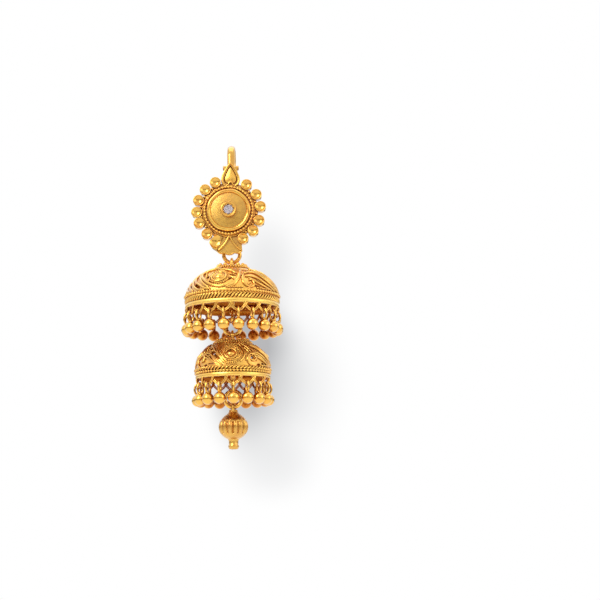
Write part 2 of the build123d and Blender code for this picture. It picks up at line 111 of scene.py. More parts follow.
SETTING_WIRE = (1.16, 2.14, 0.13)
SEAT_GRAIN_RING_R = 4.78
PRONG_RING_R = 0.86
PRONGS = 8
MELON_FOOT = 3.70             # from the end drop's lowest point up to the middle of its body


def pivot(joint_name):
    """A joint's place in millimetres."""
    for joint in frame["joints"]:
        if joint["name"] == joint_name:
            return np.array(joint["pos_m"]) / MM
    raise ValueError(f"the frame has no joint named {joint_name}")


def node_box(name):
    """A CAD node's lowest and highest corner in millimetres."""
    low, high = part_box(name)
    return np.array(low) / MM, np.array(high) / MM


# ---------------------------------------------------------------- shapes in millimetres

class Shape:
    """Vertices and faces gathered in millimetres, and made into one mesh at the end."""

    def __init__(self):
        self.points = []
        self.faces = []
        self.count = 0

    def add(self, points, faces):
        """Adds vertices, and faces that count from the first of them."""
        self.points.append(np.asarray(points, float))
        self.faces.append(np.asarray(faces, int) + self.count)
        self.count += len(points)

    def loft(self, rings, closed=False):
        """A skin over rings of points, rows by points by 3, capped at both ends unless closed."""
        rows, columns = rings.shape[:2]
        self.add(rings.reshape(-1, 3), lattice(rows, columns, closed))
        if closed:
            return
        for ring in (rings[0], rings[-1][::-1]):
            middle = ring.mean(0)
            fan = [(0, 1 + (i + 1) % columns, 1 + i, 1 + i) for i in range(columns)]
            self.add(np.vstack([middle, ring]), fan)

    def tube(self, path, radius, sides=8, closed=False, normals=None):
        """A wire along path, whose upper side follows normals."""
        path = np.asarray(path, float)
        if closed:
            tangents = np.roll(path, -1, 0) - np.roll(path, 1, 0)
        else:
            tangents = np.gradient(path, axis=0)
        tangents /= np.linalg.norm(tangents, axis=1)[:, None]
        if normals is None:
            normals = carried_normals(tangents)
        side = np.cross(tangents, normals)
        side /= np.linalg.norm(side, axis=1)[:, None]
        rise = np.cross(side, tangents)
        turn = 2 * np.pi * np.arange(sides) / sides
        ring = (np.cos(turn)[None, :, None] * side[:, None, :]
                + np.sin(turn)[None, :, None] * rise[:, None, :])
        radius = np.broadcast_to(np.asarray(radius, float), (len(path),))
        self.loft(path[:, None, :] + ring * radius[:, None, None], closed)

    def hoop(self, centre, radius, wire_r, across=(1, 0, 0), up=(0, 0, 1), steps=64, sides=12,
             high=1.0):
        """A ring of wire whose plane holds across and up; high stretches it along up."""
        turn = 2 * np.pi * np.arange(steps)[:, None] / steps
        across, up = np.asarray(across, float), np.asarray(up, float)
        path = np.asarray(centre) + radius * (np.cos(turn) * across + np.sin(turn) * up * high)
        axis = np.cross(across, up)
        self.tube(path, wire_r, sides, True, np.broadcast_to(axis, path.shape))

    def balls(self, centres, radius, fine=2):
        """A ball of that radius round each centre."""
        centres = np.asarray(centres, float).reshape(-1, 3)
        points, faces = ball_mesh(fine)
        radius = np.broadcast_to(np.asarray(radius, float), (len(centres),))
        every = centres[:, None, :] + points[None] * radius[:, None, None]
        steps = np.arange(len(centres))[:, None, None] * len(points)
        self.add(every.reshape(-1, 3), (faces[None] + steps).reshape(-1, 4))

    def turned(self, profile, centre, steps=96):
        """A closed profile of (radius, height) turned round the upright axis through centre."""
        profile = np.asarray(profile, float)
        turn = 2 * np.pi * np.arange(steps) / steps
        points = np.stack([profile[None, :, 0] * np.sin(turn)[:, None],
                           -profile[None, :, 0] * np.cos(turn)[:, None],
                           np.broadcast_to(profile[None, :, 1], (steps, len(profile)))], 2)
        self.add((points + np.asarray(centre)).reshape(-1, 3), lattice(steps, len(profile), True))

    def mesh(self, name, finish):
        """The mesh of all that was added, in that finish."""
        points = np.vstack(self.points) * MM
        faces = [tuple(dict.fromkeys(face)) for face in np.vstack(self.faces).tolist()]
        mesh = bpy.data.meshes.new(name)
        mesh.from_pydata(points.tolist(), [], faces)
        # points that meet on an axis become one
        net = bmesh.new()
        net.from_mesh(mesh)
        bmesh.ops.remove_doubles(net, verts=net.verts, dist=MELT * MM)
        bmesh.ops.recalc_face_normals(net, faces=net.faces)
        net.to_mesh(mesh)
        net.free()
        mesh.shade_smooth()
        mesh.materials.append(surface(finish))
        return mesh

    def build(self, name, finish, body):
        """An object of that finish on its body."""
        piece = bpy.data.objects.new(name, self.mesh(name, finish))
        bpy.context.scene.collection.objects.link(piece)
        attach(piece, body)
        return piece


def add_piece(name, finish, body, *draws, slot=None):
    """A piece of all that the draws put in one shape; a draw is a function and its values."""
    shape = Shape()
    for draw, *values in draws:
        draw(shape, *values)
    return shape.build(name, finish, body)


def lattice(rows, columns, closed):
    """The four-sided faces of rows by columns of points whose columns close on themselves."""
    row, column = np.meshgrid(np.arange(rows if closed else rows - 1), np.arange(columns),
                              indexing="ij")
    following = (row + 1) % rows
    beside = (column + 1) % columns
    corners = [row * columns + column, row * columns + beside,
               following * columns + beside, following * columns + column]
    return np.stack(corners, 2).reshape(-1, 4)


def carried_normals(tangents):
    """Normals carried along a line without twist."""
    first = np.cross(tangents[0], UP)
    if np.linalg.norm(first) < 0.2:
        first = np.cross(tangents[0], (1, 0, 0))
    normals = [first / np.linalg.norm(first)]
    for tangent in tangents[1:]:
        normal = normals[-1] - tangent * (normals[-1] @ tangent)
        normals.append(normal / np.linalg.norm(normal))
    return np.array(normals)


def ball_mesh(fine):
    """Vertices and faces of a ball of radius 1."""
    ball = bmesh.new()
    bmesh.ops.create_icosphere(ball, subdivisions=fine, radius=1)
    points = np.array([v.co for v in ball.verts])
    faces = np.array([[v.index for v in f.verts] + [f.verts[2].index] for f in ball.faces])
    ball.free()
    return points, faces


def smooth(knots, count, closed=False):
    """A smooth line through a few knots, as count points."""
    knots = np.asarray(knots, float)
    ends = (knots[-1:], knots[:1], knots[1:2]) if closed else (
        2 * knots[:1] - knots[1:2], 2 * knots[-1:] - knots[-2:-1], knots[:0])
    padded = np.vstack([ends[0], knots, ends[1], ends[2]])
    spans = len(knots) if closed else len(knots) - 1
    at = np.linspace(0, spans, count, endpoint=not closed)
    first = np.minimum(at.astype(int), spans - 1)
    t = (at - first)[:, None]
    a, b, c, d = (padded[first + k] for k in range(4))
    return 0.5 * (2 * b + (c - a) * t + (2 * a - 5 * b + 4 * c - d) * t ** 2
                  + (3 * b - a - 3 * c + d) * t ** 3)


# ---------------------------------------------------------------- materials

def new_material(name):
    """An empty node material, its tree and its output."""
    material = bpy.data.materials.new(name)
    material.use_nodes = True
    tree = material.node_tree
    tree.nodes.clear()
    output = tree.nodes.new("ShaderNodeOutputMaterial")
    return material, tree, output


def node(tree, kind, inputs=None, **settings):
    """A node with its settings, and its inputs given as values or as sockets to link."""
    made = tree.nodes.new(kind)
    for key, value in settings.items():
        setattr(made, key, value)
    for key, value in (inputs or {}).items():
        if isinstance(value, bpy.types.NodeSocket):
            tree.links.new(value, made.inputs[key])
        else:
            made.inputs[key].default_value = value
    return made


def ramp(tree, factor, *stops):
    """A colour ramp with its stops as (position, colour)."""
    made = node(tree, "ShaderNodeValToRGB", {"Fac": factor})
    elements = made.color_ramp.elements
    while len(elements) < len(stops):
        elements.new(0.5)
    for element, (position, colour) in zip(elements, stops):
        element.position = position
        element.color = (*colour, 1)
    return made.outputs["Color"]


def mixed(tree, factor, first, second, blend="MIX"):
    """A colour mix: its colour sockets are numbered, as they share names with the number ones."""
    made = tree.nodes.new("ShaderNodeMix")
    made.data_type = "RGBA"
    made.blend_type = blend
    for index, value in ((0, factor), (6, first), (7, second)):
        if isinstance(value, bpy.types.NodeSocket):
            tree.links.new(value, made.inputs[index])
        else:
            made.inputs[index].default_value = value
    return made.outputs[2]


def spread(tree, value, low, high, start=0.0, end=1.0):
    """Value from start to end, spread over low to high."""
    return node(tree, "ShaderNodeMapRange", {"Value": value, "From Min": start, "From Max": end,
                                             "To Min": low, "To Max": high}).outputs["Result"]


def blended(tree, share, first, second):
    """The first shader where the share is 0, and the second where it is 1."""
    return node(tree, "ShaderNodeMixShader", {0: share, 1: first, 2: second}).outputs[0]


def number(tree, operation, first, second=0.0):
    """A sum of two values, or a test of one against the other."""
    return node(tree, "ShaderNodeMath", {0: first, 1: second}, operation=operation).outputs[0]


def vector(tree, operation, *values):
    """A sum on vectors: a length or a dot product gives a number."""
    made = node(tree, "ShaderNodeVectorMath", dict(enumerate(values)), operation=operation)
    return made.outputs["Value" if operation in ("LENGTH", "DOT_PRODUCT") else "Vector"]


def part(tree, value, axis):
    """One part of a vector."""
    return node(tree, "ShaderNodeSeparateXYZ", {"Vector": value}).outputs[axis]


def coordinate(tree, kind):
    """The place on the surface, its normal or the way to it."""
    return node(tree, "ShaderNodeTexCoord").outputs[kind]


def noise(tree, place, scale, detail):
    """A soft noise from 0 to 1."""
    return node(tree, "ShaderNodeTexNoise",
                {"Vector": place, "Scale": scale, "Detail": detail}).outputs["Fac"]


@dataclass
class Gold:
    """How one kind of gold is made from the looks."""
    colour: str = "gold"              # the looks' colour that it starts from,
    shares: tuple = (1, 1, 1)         # and its shares of that red, green and blue
    roughness: str = "polish"         # the looks' roughness that it starts from,
    rough_share: float = 1.0          # and its share of it
    grain: float = 0.03
    dents: float = 0.10
    reach: float = 0.0012             # how near a wall must be for the painted hollow shade, in metres
    coat: float = 1.0


SATIN = {"colour": "satin", "roughness": "satin_roughness", "dents": 0.15}
# a darker copy of the gold, for the ear wire and the melon; on the melon it is painted shade,
# toning down light that falls too brightly there
DARKER = (0.84, 0.80, 0.76)
GOLDS = {
    "polished": Gold(),
    "satin": Gold(**SATIN, grain=0.25, reach=0.0020),
    "wall": Gold(**SATIN, grain=0.25, reach=0.0015),
    "band": Gold(**SATIN, grain=0.10, reach=0.0008, shares=(1.12, 1.34, 2.1)),
    # painted shade: a browner, less glossy gold for the bells' insides and inward-facing sides
    "inner": Gold(**SATIN, grain=0.25, reach=0.0030, shares=(0.72, 0.46, 0.24), coat=0.25),
    # darker copies of the gold on the rosette and its disc: painted shade, toning down the white
    # their front faces reflect
    "rosette": Gold(shares=(0.94, 0.94, 0.94)),
    "disc": Gold("satin", (0.76, 0.76, 0.76), "satin_roughness", grain=0.35),
    "wire": Gold(shares=DARKER, rough_share=0.8),
    "melon": Gold(shares=DARKER, roughness="satin_roughness", rough_share=0.8),
}
ROSY = (1.0, 0.88, 0.70)      # shares of red, green and blue in the redder patches
PATCH_SCALE = 420
SWELL_SCALE = 900
MARK_SCALE = 5200
SPECKLE_SCALE = 6500
COAT_IOR = 1.62
SWELL_DEPTH = 0.00006
GRAIN_DEPTH = 0.00005


def gold_shader(tree, looks, kind):
    """Rich gold: painted shade that darkens it in hollows and where parts stand close, an uneven
    polish, fine grain and soft dents.
    """
    gold = GOLDS[kind]
    colour = tuple(c * k for c, k in zip(getattr(looks, gold.colour), gold.shares))
    roughness = gold.rough_share * getattr(looks, gold.roughness)
    place = coordinate(tree, "Object")
    patches = spread(tree, noise(tree, place, PATCH_SCALE, 3), 0.0, 0.4, 0.4, 0.7)
    speckle = node(tree, "ShaderNodeTexVoronoi", {"Vector": place, "Scale": SPECKLE_SCALE})
    # painted shade: the gold darkens towards the hollow-shade colour where walls stand near
    hollow = node(tree, "ShaderNodeAmbientOcclusion", {"Distance": gold.reach}, samples=4)
    tone = ramp(tree, hollow.outputs["AO"], (0.20, looks.hollow_shade), (0.66, colour))
    rosy = tuple(c * k for c, k in zip(colour, ROSY))
    swell = node(tree, "ShaderNodeBump", {"Height": noise(tree, place, SWELL_SCALE, 2),
                                          "Strength": gold.dents, "Distance": SWELL_DEPTH})
    bump = node(tree, "ShaderNodeBump", {"Height": speckle.outputs["Distance"],
                                         "Strength": gold.grain, "Distance": GRAIN_DEPTH,
                                         "Normal": swell.outputs["Normal"]})
    marks = spread(tree, noise(tree, place, MARK_SCALE, 4), roughness * 0.7, roughness * 1.4,
                   0.3, 0.7)
    shader = node(tree, "ShaderNodeBsdfPrincipled",
                  {"Base Color": mixed(tree, patches, tone, (*rosy, 1), "MULTIPLY"),
                   "Metallic": 1.0, "Roughness": marks, "Coat Weight": gold.coat,
                   "Coat Roughness": roughness, "Coat IOR": COAT_IOR,
                   "Normal": bump.outputs["Normal"]})
    return shader.outputs["BSDF"]


def stone_shader(tree, looks):
    """A clear stone with a lilac cast in its depth."""
    haze = noise(tree, coordinate(tree, "Object"), 900, 2)
    paler = tuple(min(1, c * 1.12) for c in looks.stone)
    tint = ramp(tree, haze, (0.3, looks.stone), (0.7, paler))
    shader = node(tree, "ShaderNodeBsdfPrincipled", {"Base Color": tint, "Roughness": 0.01,
                                                     "IOR": 2.0, "Transmission Weight": 0.75})
    return shader.outputs["BSDF"]


def rosette_shader(tree, looks):
    """Polished gold, with satin on the disc, the petal, the fan and the back."""
    low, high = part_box("stone")
    middle = (Vector(low) + Vector(high)) / 2
    place = coordinate(tree, "Object")
    flat = vector(tree, "MULTIPLY", place, (1, 0, 1))
    away = vector(tree, "SUBTRACT", flat, (middle.x, 0, middle.z))
    reach = vector(tree, "LENGTH", away)
    across = number(tree, "ABSOLUTE", part(tree, away, "X"))
    disc = number(tree, "LESS_THAN", reach, DISC_R * MM)
    outside = number(tree, "GREATER_THAN", reach, SATIN_FROM * MM)
    narrow = number(tree, "LESS_THAN", across, SATIN_HALF_W * MM)
    column = number(tree, "MULTIPLY", outside, narrow)
    back = number(tree, "GREATER_THAN", part(tree, place, "Y"),
                  low[1] + (STONE_FRONT - PLATE_T) * MM)
    share = number(tree, "MAXIMUM", number(tree, "MAXIMUM", disc, column), back)
    return blended(tree, share, gold_shader(tree, looks, "rosette"),
                   gold_shader(tree, looks, "disc"))


def browner(tree, looks, share, outer):
    """The outer gold, and painted shade where the share is 1: a browner gold with less gloss."""
    return blended(tree, share, gold_shader(tree, looks, outer),
                   gold_shader(tree, looks, "inner"))


# The painted shade covers the bells' insides:
INSIDE_WALL = 0.985           # the wall's inside starts at this share of its outer sizes,
INSIDE_BAND = 0.12            # and the band's this far in from its rim, in mm


def from_axis(tree, bell, scale=(1, 1, 0)):
    """The way from the bell's axis to the place on the surface."""
    middle = (bell.foot + UP * bell.arc_z) * MM
    away = vector(tree, "SUBTRACT", coordinate(tree, "Object"), tuple(middle))
    return vector(tree, "MULTIPLY", away, scale)


def wall_shader(tree, looks, bell):
    """Satin gold, with painted shade on the inside of the bell: browner and less glossy there."""
    sizes = (bell.arc_r, bell.arc_r, bell.arc_h)
    away = from_axis(tree, bell, tuple(1 / (size * MM) for size in sizes))
    inside = number(tree, "LESS_THAN", vector(tree, "LENGTH", away), INSIDE_WALL)
    return browner(tree, looks, inside, "wall")


def band_shader(tree, looks, bell):
    """Pale satin gold, with painted shade on the inside of the bell: browner and less glossy
    there.
    """
    reach = vector(tree, "LENGTH", from_axis(tree, bell))
    inside = number(tree, "LESS_THAN", reach, (bell.rim_r - INSIDE_BAND) * MM)
    return browner(tree, looks, inside, "band")


def loop_shader(tree, looks, bell):
    """Polished gold, with painted shade, browner and less glossy, on the side of a loop that faces
    the bell's axis.
    """
    out = vector(tree, "NORMALIZE", from_axis(tree, bell))
    facing = vector(tree, "DOT_PRODUCT", out, coordinate(tree, "Normal"))
    return browner(tree, looks, spread(tree, facing, 0.0, 1.0, 0.1, -0.5), "polished")


def drop_shader(tree, looks):
    """Polished gold, with painted shade, browner and less glossy, on the side of a drop that faces
    the rest of its ring.
    """
    facing = part(tree, coordinate(tree, "Normal"), "Y")
    return browner(tree, looks, spread(tree, facing, 0.0, 1.0, -0.1, 0.6), "polished")


def surface(finish):
    """The material of that finish, made when it is first asked for."""
    name = f"jhumka_{finish}"
    if name in bpy.data.materials:
        return bpy.data.materials[name]
    looks = bpy.context.scene.jhumka_looks
    material, tree, output = new_material(name)
    *bell, kind, _ = finish.split("_")
    if bell:
        shades = {"wall": wall_shader, "band": band_shader, "loop": loop_shader}
        shader = shades[kind](tree, looks, {"upper": UPPER, "lower": LOWER}[bell[0]])
    elif finish in ("rosette_gold", "drop_gold", "clear_stone"):
        shades = {"rosette": rosette_shader, "drop": drop_shader, "clear": stone_shader}
        shader = shades[kind](tree, looks)
    elif kind in GOLDS:
        shader = gold_shader(tree, looks, kind)
    else:
        raise ValueError(f"there is no finish named {finish}")
    tree.links.new(shader, output.inputs["Surface"])
    return material


def dress(finish, *names):
    """Gives CAD nodes a finish."""
    for name in names:
        slots = frame["nodes"][name].data.materials
        slots.clear()
        slots.append(surface(finish))


# ---------------------------------------------------------------- the two bells

@dataclass
class Bell:
    """One bell's sizes in millimetres. Heights are above the bottom edge of its plain band."""
    name: str
    swing: str                # the joint in the link above
    next_swing: str           # the joint where the link below hangs
    rim_below: float          # height of the joint above over the plain band's bottom edge
    rim_r: float
    arc_r: float              # the wall is part of an ellipse: half width,
    arc_h: float              # half height,
    arc_z: float              # and height of its centre
    band_top: float
    rope_top: float
    crown_r: float
    crown_top: float
    units: int                # how often the pattern repeats
    first: float              # azimuth of the front medallion, 0 at the front
    drops: int
    drop_first: float
    drop_ring_r: float

    @property
    def foot(self):
        """The middle of the plain band's bottom edge."""
        return pivot(self.swing) - UP * self.rim_below

    @property
    def body(self):
        """The name of the body that the bell rides on."""
        return f"{self.name}_bell_body"

    @property
    def base(self):
        """The height where the wall meets the crown."""
        return self.arc_z + self.arc_h * math.sqrt(1 - (self.crown_r / self.arc_r) ** 2)

    def wall(self, azimuth, level, rise=0.0):
        """Places on the wall, raised off it, and the wall's normals there; angles in degrees."""
        turn, climb = np.broadcast_arrays(np.radians(azimuth), np.radians(level))
        way = np.stack([np.sin(turn), -np.cos(turn), np.zeros_like(turn)], -1)
        flat, high = np.cos(climb)[..., None], np.sin(climb)[..., None]
        normals = way * flat / self.arc_r + UP * high / self.arc_h
        normals /= np.linalg.norm(normals, axis=-1)[..., None]
        places = self.foot + UP * self.arc_z + way * flat * self.arc_r + UP * high * self.arc_h
        return places + normals * np.asarray(rise)[..., None], normals

    def around(self, radius, height, count, first=0.0):
        """Places evenly round the bell's axis."""
        turn = np.radians(first + 360 * np.arange(count) / count)
        return self.foot + np.stack([radius * np.sin(turn), -radius * np.cos(turn),
                                     np.full(count, float(height))], 1)

    def circle(self, azimuth, level, radius, count):
        """Azimuths and levels of a circle drawn on the wall."""
        turn = np.radians(np.linspace(0.0, 360.0, count, endpoint=False))
        climb = math.radians(level)
        across = self.arc_r * math.cos(climb)
        upward = math.hypot(self.arc_r * math.sin(climb), self.arc_h * math.cos(climb))
        return np.stack([azimuth + np.degrees(radius * np.cos(turn) / across),
                         level + np.degrees(radius * np.sin(turn) / upward)], 1)

    def repeats(self):
        """The azimuth of each medallion."""
        return [self.first + 360 * i / self.units for i in range(self.units)]


UPPER = Bell(name="upper", swing="upper_bell_swing", next_swing="mid_link_swing",
             rim_below=9.4, rim_r=7.96, arc_r=7.90, arc_h=6.0, arc_z=1.15,
             band_top=0.72, rope_top=1.75, crown_r=2.9, crown_top=7.25,
             units=3, first=-16, drops=20, drop_first=10.5, drop_ring_r=7.66)
LOWER = Bell(name="lower", swing="lower_bell_swing", next_swing="bottom_link_swing",
             rim_below=8.8, rim_r=6.25, arc_r=6.20, arc_h=5.1, arc_z=1.50,
             band_top=0.68, rope_top=1.60, crown_r=3.2, crown_top=6.42,
             units=4, first=0, drops=16, drop_first=4, drop_ring_r=5.92)
WALL_STEPS = {"upper": 384, "lower": 336}     # points of the wall's net round each bell

# Pierced gaps, from each medallion. Columns: azimuth, level, length, width in mm, tilt in degrees.
UPPER_GAPS = [
    (88, 19.5, 2.2, 0.90, -29), (95, 28.5, 1.5, 0.52, -33), (52, 15.6, 1.5, 0.58, -10),
    (35, 36.0, 0.7, 0.42, 60), (20, 37.5, 1.4, 0.62, -28), (14.5, 28.0, 1.2, 0.62, 35),
    (3.5, 21.6, 1.4, 0.50, 8), (-9, 24.0, 1.3, 0.50, -35), (-18, 34, 1.3, 0.46, -62),
    (-12, 45, 1.2, 0.42, 40), (56, 50, 1.9, 0.55, -40), (71, 21.0, 1.6, 0.42, -32),
    (58, 25.5, 1.4, 0.42, -30),
]
LOWER_GAPS = [
    (57.5, 29.0, 1.8, 0.74, -42), (52.5, 19.3, 1.6, 0.54, -28), (58, 5.8, 1.3, 0.44, -8),
    (46, 41, 1.4, 0.62, -40), (36.5, 17.5, 0.9, 0.65, 50), (46.5, 4.0, 0.9, 0.50, 10),
    (67, 19.5, 1.5, 0.42, -42), (16.3, 24, 0.44, 1.5, 8), (-15, 27, 0.40, 1.3, -8),
    (6.5, 9.5, 1.1, 0.34, 14), (-7, 10, 1.0, 0.34, -16),
]

# Wires on the wall. Columns: radius in mm, knots of azimuth and level.
UPPER_WIRES = [
    (0.25, [(11, 16), (4, 14.5), (-3.4, 16.2), (-11.7, 20.6), (-21, 28.4), (-32, 39),
            (-34, 50), (-15, 56), (1, 52), (10.5, 49.5), (19.5, 45.3), (24.4, 39.3)]),
    (0.15, [(15.8, 32.4), (19.5, 30.5), (21.8, 27.1)]),
    (0.17, [(37, 39.5), (33.4, 30), (33.4, 22), (36.4, 16.3), (40, 14.6)]),
    (0.17, [(41.8, 25.2), (45.5, 26.8), (47.8, 22.7), (47.3, 16.5), (42.8, 13)]),
    (0.20, [(37, 39.5), (48, 44), (59, 43), (68, 34), (76.6, 25), (84, 18.5), (93, 12.5),
            (104, 10.7)]),
    (0.18, [(37.8, 33), (46, 34), (56.4, 30.8), (66, 22.7), (75.4, 16.7), (84, 11)]),
    (0.18, [(42, 29.8), (49.4, 25), (59, 18.4), (68, 14.2), (76, 10.5)]),
    (0.20, [(56, 56), (64, 48), (72, 38.5), (79.4, 29.5), (93.5, 20.3), (103, 13.8),
            (112, 11.7)]),
    (0.20, [(72, 56), (80, 43), (87.8, 33.4), (100.6, 21.1), (109.4, 13.9)]),
]
UPPER_CRESCENT = ([(35, 47), (32, 32), (28, 23), (22, 14.4), (14, 10.5)],
                  [(25.4, 44), (25.4, 36), (23.5, 28), (18, 20.5), (11.6, 17.0)])
LOWER_WIRES = [
    (0.17, [(43, 55), (55, 45), (63.5, 36), (70.3, 23), (76.7, 12.5), (83.8, 5)]),
    (0.17, [(48, 56), (60, 45), (68, 35), (75, 23), (81, 13), (87.5, 5.5)]),
    (0.17, [(11.4, 52.9), (20, 42.7), (23.3, 31.2), (21.7, 19.7), (15, 9)]),
    (0.15, [(37, 22), (40, 27), (46, 28.3), (54, 25), (66.6, 13.7), (77.5, 3.5)]),
    (0.15, [(43, 11), (42.5, 17), (47, 18.5), (61.3, 10.2), (76.2, 3.0)]),
    (0.14, [(51, 2), (56, 3.8), (65.5, 3.4), (77, 2)]),
    (0.17, [(35, 2), (29.5, 5.5), (26.5, 12), (27.7, 18.8), (33, 24.5), (39.5, 24.5),
            (42.5, 19), (39.5, 12.5), (34.5, 12), (33.5, 15)]),
    (0.16, [(40.4, 47.5), (52.3, 41), (62, 31.2), (74.3, 18.5), (78.5, 7.9)]),
    (0.14, [(41.8, 25.9), (52, 19.7), (62.4, 10.2), (70.7, 3)]),
    (0.15, [(16, 55), (26, 47), (33, 37), (35, 29)]),
    (0.14, [(24, 40), (29, 33), (31, 27)]),
]


# Medallions: level of the middle, boss radius and height, rings of (radius, wire radius), and
# rings of (radius, granule radius, count).
UPPER_MEDALLION = (34.5, 0.82, 0.50, [(1.20, 0.18), (0.88, 0.10)], [(1.54, 0.13, 32)])
LOWER_MEDALLION = (25.3, 0.62, 0.42, [(0.93, 0.16), (1.52, 0.10)],
                   [(1.23, 0.14, 25), (1.80, 0.12, 40)])

# Granules on the wall. Columns: radius, spacing, knots of azimuth and level.
UPPER_GRAINS = [
    (0.16, 0.36, [(-6, 23.5), (2, 20.5), (9, 22.5), (13.5, 27)]),
    (0.15, 0.34, [(-14, 47.5), (-2, 50), (7, 46)]),
    (0.14, 0.30, [(32.5, 43), (30, 33), (26.5, 24.5), (20.5, 16.5)]),
    (0.14, 0.30, [(29, 44), (27.2, 34), (24, 25.5), (18.5, 18)]),
    (0.17, 0.40, [(52, 12.5), (60, 12), (68, 12)]),
    (0.15, 0.34, [(100, 34), (96, 40), (90, 47)]),
    (0.14, 0.31, [(40, 52), (50, 50), (60, 47), (66, 42)]),
    (0.14, 0.31, [(40, 18.5), (43.5, 21.5)]),
    (0.14, 0.31, [(12, 13.2), (22, 12.6), (32, 12.8)]),
]
LOWER_GRAINS = [
    (0.13, 0.29, [(-14, 50), (0, 51), (11, 49)]),
    (0.13, 0.29, [(-13.5, 46), (0, 47), (11.5, 45)]),
    (0.13, 0.29, [(-13, 42), (-5, 43), (6, 43), (12.5, 41)]),
    (0.13, 0.30, [(-11, 34), (-12.8, 25), (-10.5, 16), (0, 12), (9, 14), (13.5, 21)]),
    (0.12, 0.28, [(-9, 12), (-3, 8.5), (4, 8), (11, 10)]),
    (0.11, 0.26, [(-6, 6), (0, 5), (8, 5.5)]),
    (0.13, 0.29, [(24, 12), (25, 22), (30, 30)]),
    (0.13, 0.29, [(26, 53), (38, 50), (52, 52)]),
    (0.12, 0.28, [(33, 44), (39, 36), (42, 31)]),
]

# Granules on the crowns. Columns: ring radius, height, granule radius, count, first azimuth.
UPPER_CROWN = [(2.30, 7.38, 0.36, 13, 2), (2.92, 6.88, 0.20, 42, 0), (2.68, 7.14, 0.15, 50, 4)]
LOWER_CROWN = [(2.58, 6.50, 0.33, 15, 6), (3.20, 6.02, 0.18, 50, 0), (2.96, 6.26, 0.15, 56, 3)]


GAP_REACH = 1.2               # how far off its middle's plane a gap still cuts the wall, in mm
NEAREST = 0.2                 # points nearer a gap's middle than this share aren't drawn out fully
WIRE_STEP = 0.11              # spacing of the points along a wire, in mm
TAPER_START = 0.55            # a wire's ends start at this share of its radius,
TAPER_STEP = 0.15             # and gain this share at each point


def wall_shell(shape, bell, gaps, around, upward=72):
    """The wall's outer skin as a fine net, with its gaps left out and their edges made smooth."""
    low = math.degrees(math.asin((bell.rope_top - 0.2 - bell.arc_z) / bell.arc_h))
    high = math.degrees(math.acos((bell.crown_r - 0.5) / bell.arc_r))
    azimuth = np.tile(360 * np.arange(around)[:, None] / around, (1, upward))
    level = np.tile(np.linspace(low, high, upward)[None], (around, 1))
    places, _ = bell.wall(azimuth, level)
    gone = np.zeros(azimuth.shape, bool)
    for start in bell.repeats():
        for at, rise, length, width, tilt in gaps:
            middle, out = bell.wall(start + at, rise)
            along = np.cross(UP, out)
            along /= np.linalg.norm(along)
            across = np.cross(out, along)
            lean = np.radians(tilt)
            first = along * np.cos(lean) + across * np.sin(lean)
            second = across * np.cos(lean) - along * np.sin(lean)
            p = (places - middle) @ first / (length / 2)
            q = (places - middle) @ second / (width / 2)
            reach = np.hypot(p, q)
            inside = (reach < 1) & (np.abs((places - middle) @ out) < GAP_REACH)
            gone |= inside
            # points just inside an edge are drawn out to it
            pull = np.where(inside, 1 / np.maximum(reach, NEAREST) - 1, 0)[..., None]
            places = places + pull * (p[..., None] * first * length / 2
                                      + q[..., None] * second * width / 2)
    corners = lattice(around, upward, True)
    columns = corners % upward
    whole = np.ptp(columns, axis=1) <= 1
    kept = ~gone.reshape(-1)[corners].all(1) & whole
    shape.add(places.reshape(-1, 3), corners[kept])


def wall_wires(shape, bell, table, rise=0.13):
    """Wires laid on the wall, thinner at their ends, from rows of (radius, knots)."""
    for start in bell.repeats():
        for radius, knots in table:
            line = evenly(bell, knots, WIRE_STEP)
            path, normals = bell.wall(line[:, 0] + start, line[:, 1], rise)
            from_end = np.minimum(np.arange(len(path)), np.arange(len(path))[::-1])
            taper = np.minimum(1, TAPER_START + TAPER_STEP * from_end)
            shape.tube(path, radius * taper, 10, normals=normals)


def wall_rings(shape, bell, level, table, rise=0.12):
    """Rings of wire round each medallion's middle, from rows of (ring radius, wire radius)."""
    for start in bell.repeats():
        for ring_r, wire_r in table:
            line = bell.circle(start, level, ring_r, 56)
            path, normals = bell.wall(line[:, 0], line[:, 1], rise)
            shape.tube(path, wire_r, 10, True, normals)


def evenly(bell, knots, spacing):
    """A smooth line through knots of azimuth and level, with points about spacing apart."""
    places, _ = bell.wall(*np.array(knots, float).T)
    length = np.linalg.norm(np.diff(places, axis=0), axis=1).sum()
    return smooth(knots, max(6, round(length / spacing) + 1))


def wall_grains(shape, bell, table, rise=0.10):
    """Granules along lines on the wall, from rows of (radius, spacing, knots)."""
    for start in bell.repeats():
        for radius, spacing, knots in table:
            line = evenly(bell, knots, spacing)
            path, _ = bell.wall(line[:, 0] + start, line[:, 1], rise)
            shape.balls(path, radius)


def wall_band(shape, bell, edge, other, bulge, rise=0.02, count=40):
    """A rounded band of metal on the wall, between two edges given by their knots."""
    first, second = smooth(edge, count), smooth(other, count)
    share = np.linspace(0, 1, 9)
    for start in bell.repeats():
        across = (first[:, None] * (1 - share[None, :, None])
                  + second[:, None] * share[None, :, None])
        top, _ = bell.wall(across[..., 0] + start, across[..., 1],
                           rise + bulge * np.sin(np.pi * share)[None])
        under, _ = bell.wall(across[:, ::-2, 0] + start, across[:, ::-2, 1], np.float64(-0.15))
        shape.loft(np.concatenate([top, under], 1))


def rope(shape, bell, radius, height, half_high, half_deep, strands, turns, wire_r):
    """Strands twisted round each other, in a ring round the bell."""
    count = turns * 18
    azimuth = 2 * np.pi * np.arange(count) / count
    for strand in range(strands):
        phase = turns * azimuth + 2 * np.pi * strand / strands
        out = radius + half_deep * np.cos(phase)
        path = np.stack([out * np.sin(azimuth), -out * np.cos(azimuth),
                         height + half_high * np.sin(phase)], 1)
        shape.tube(bell.foot + path, wire_r, 7, True)


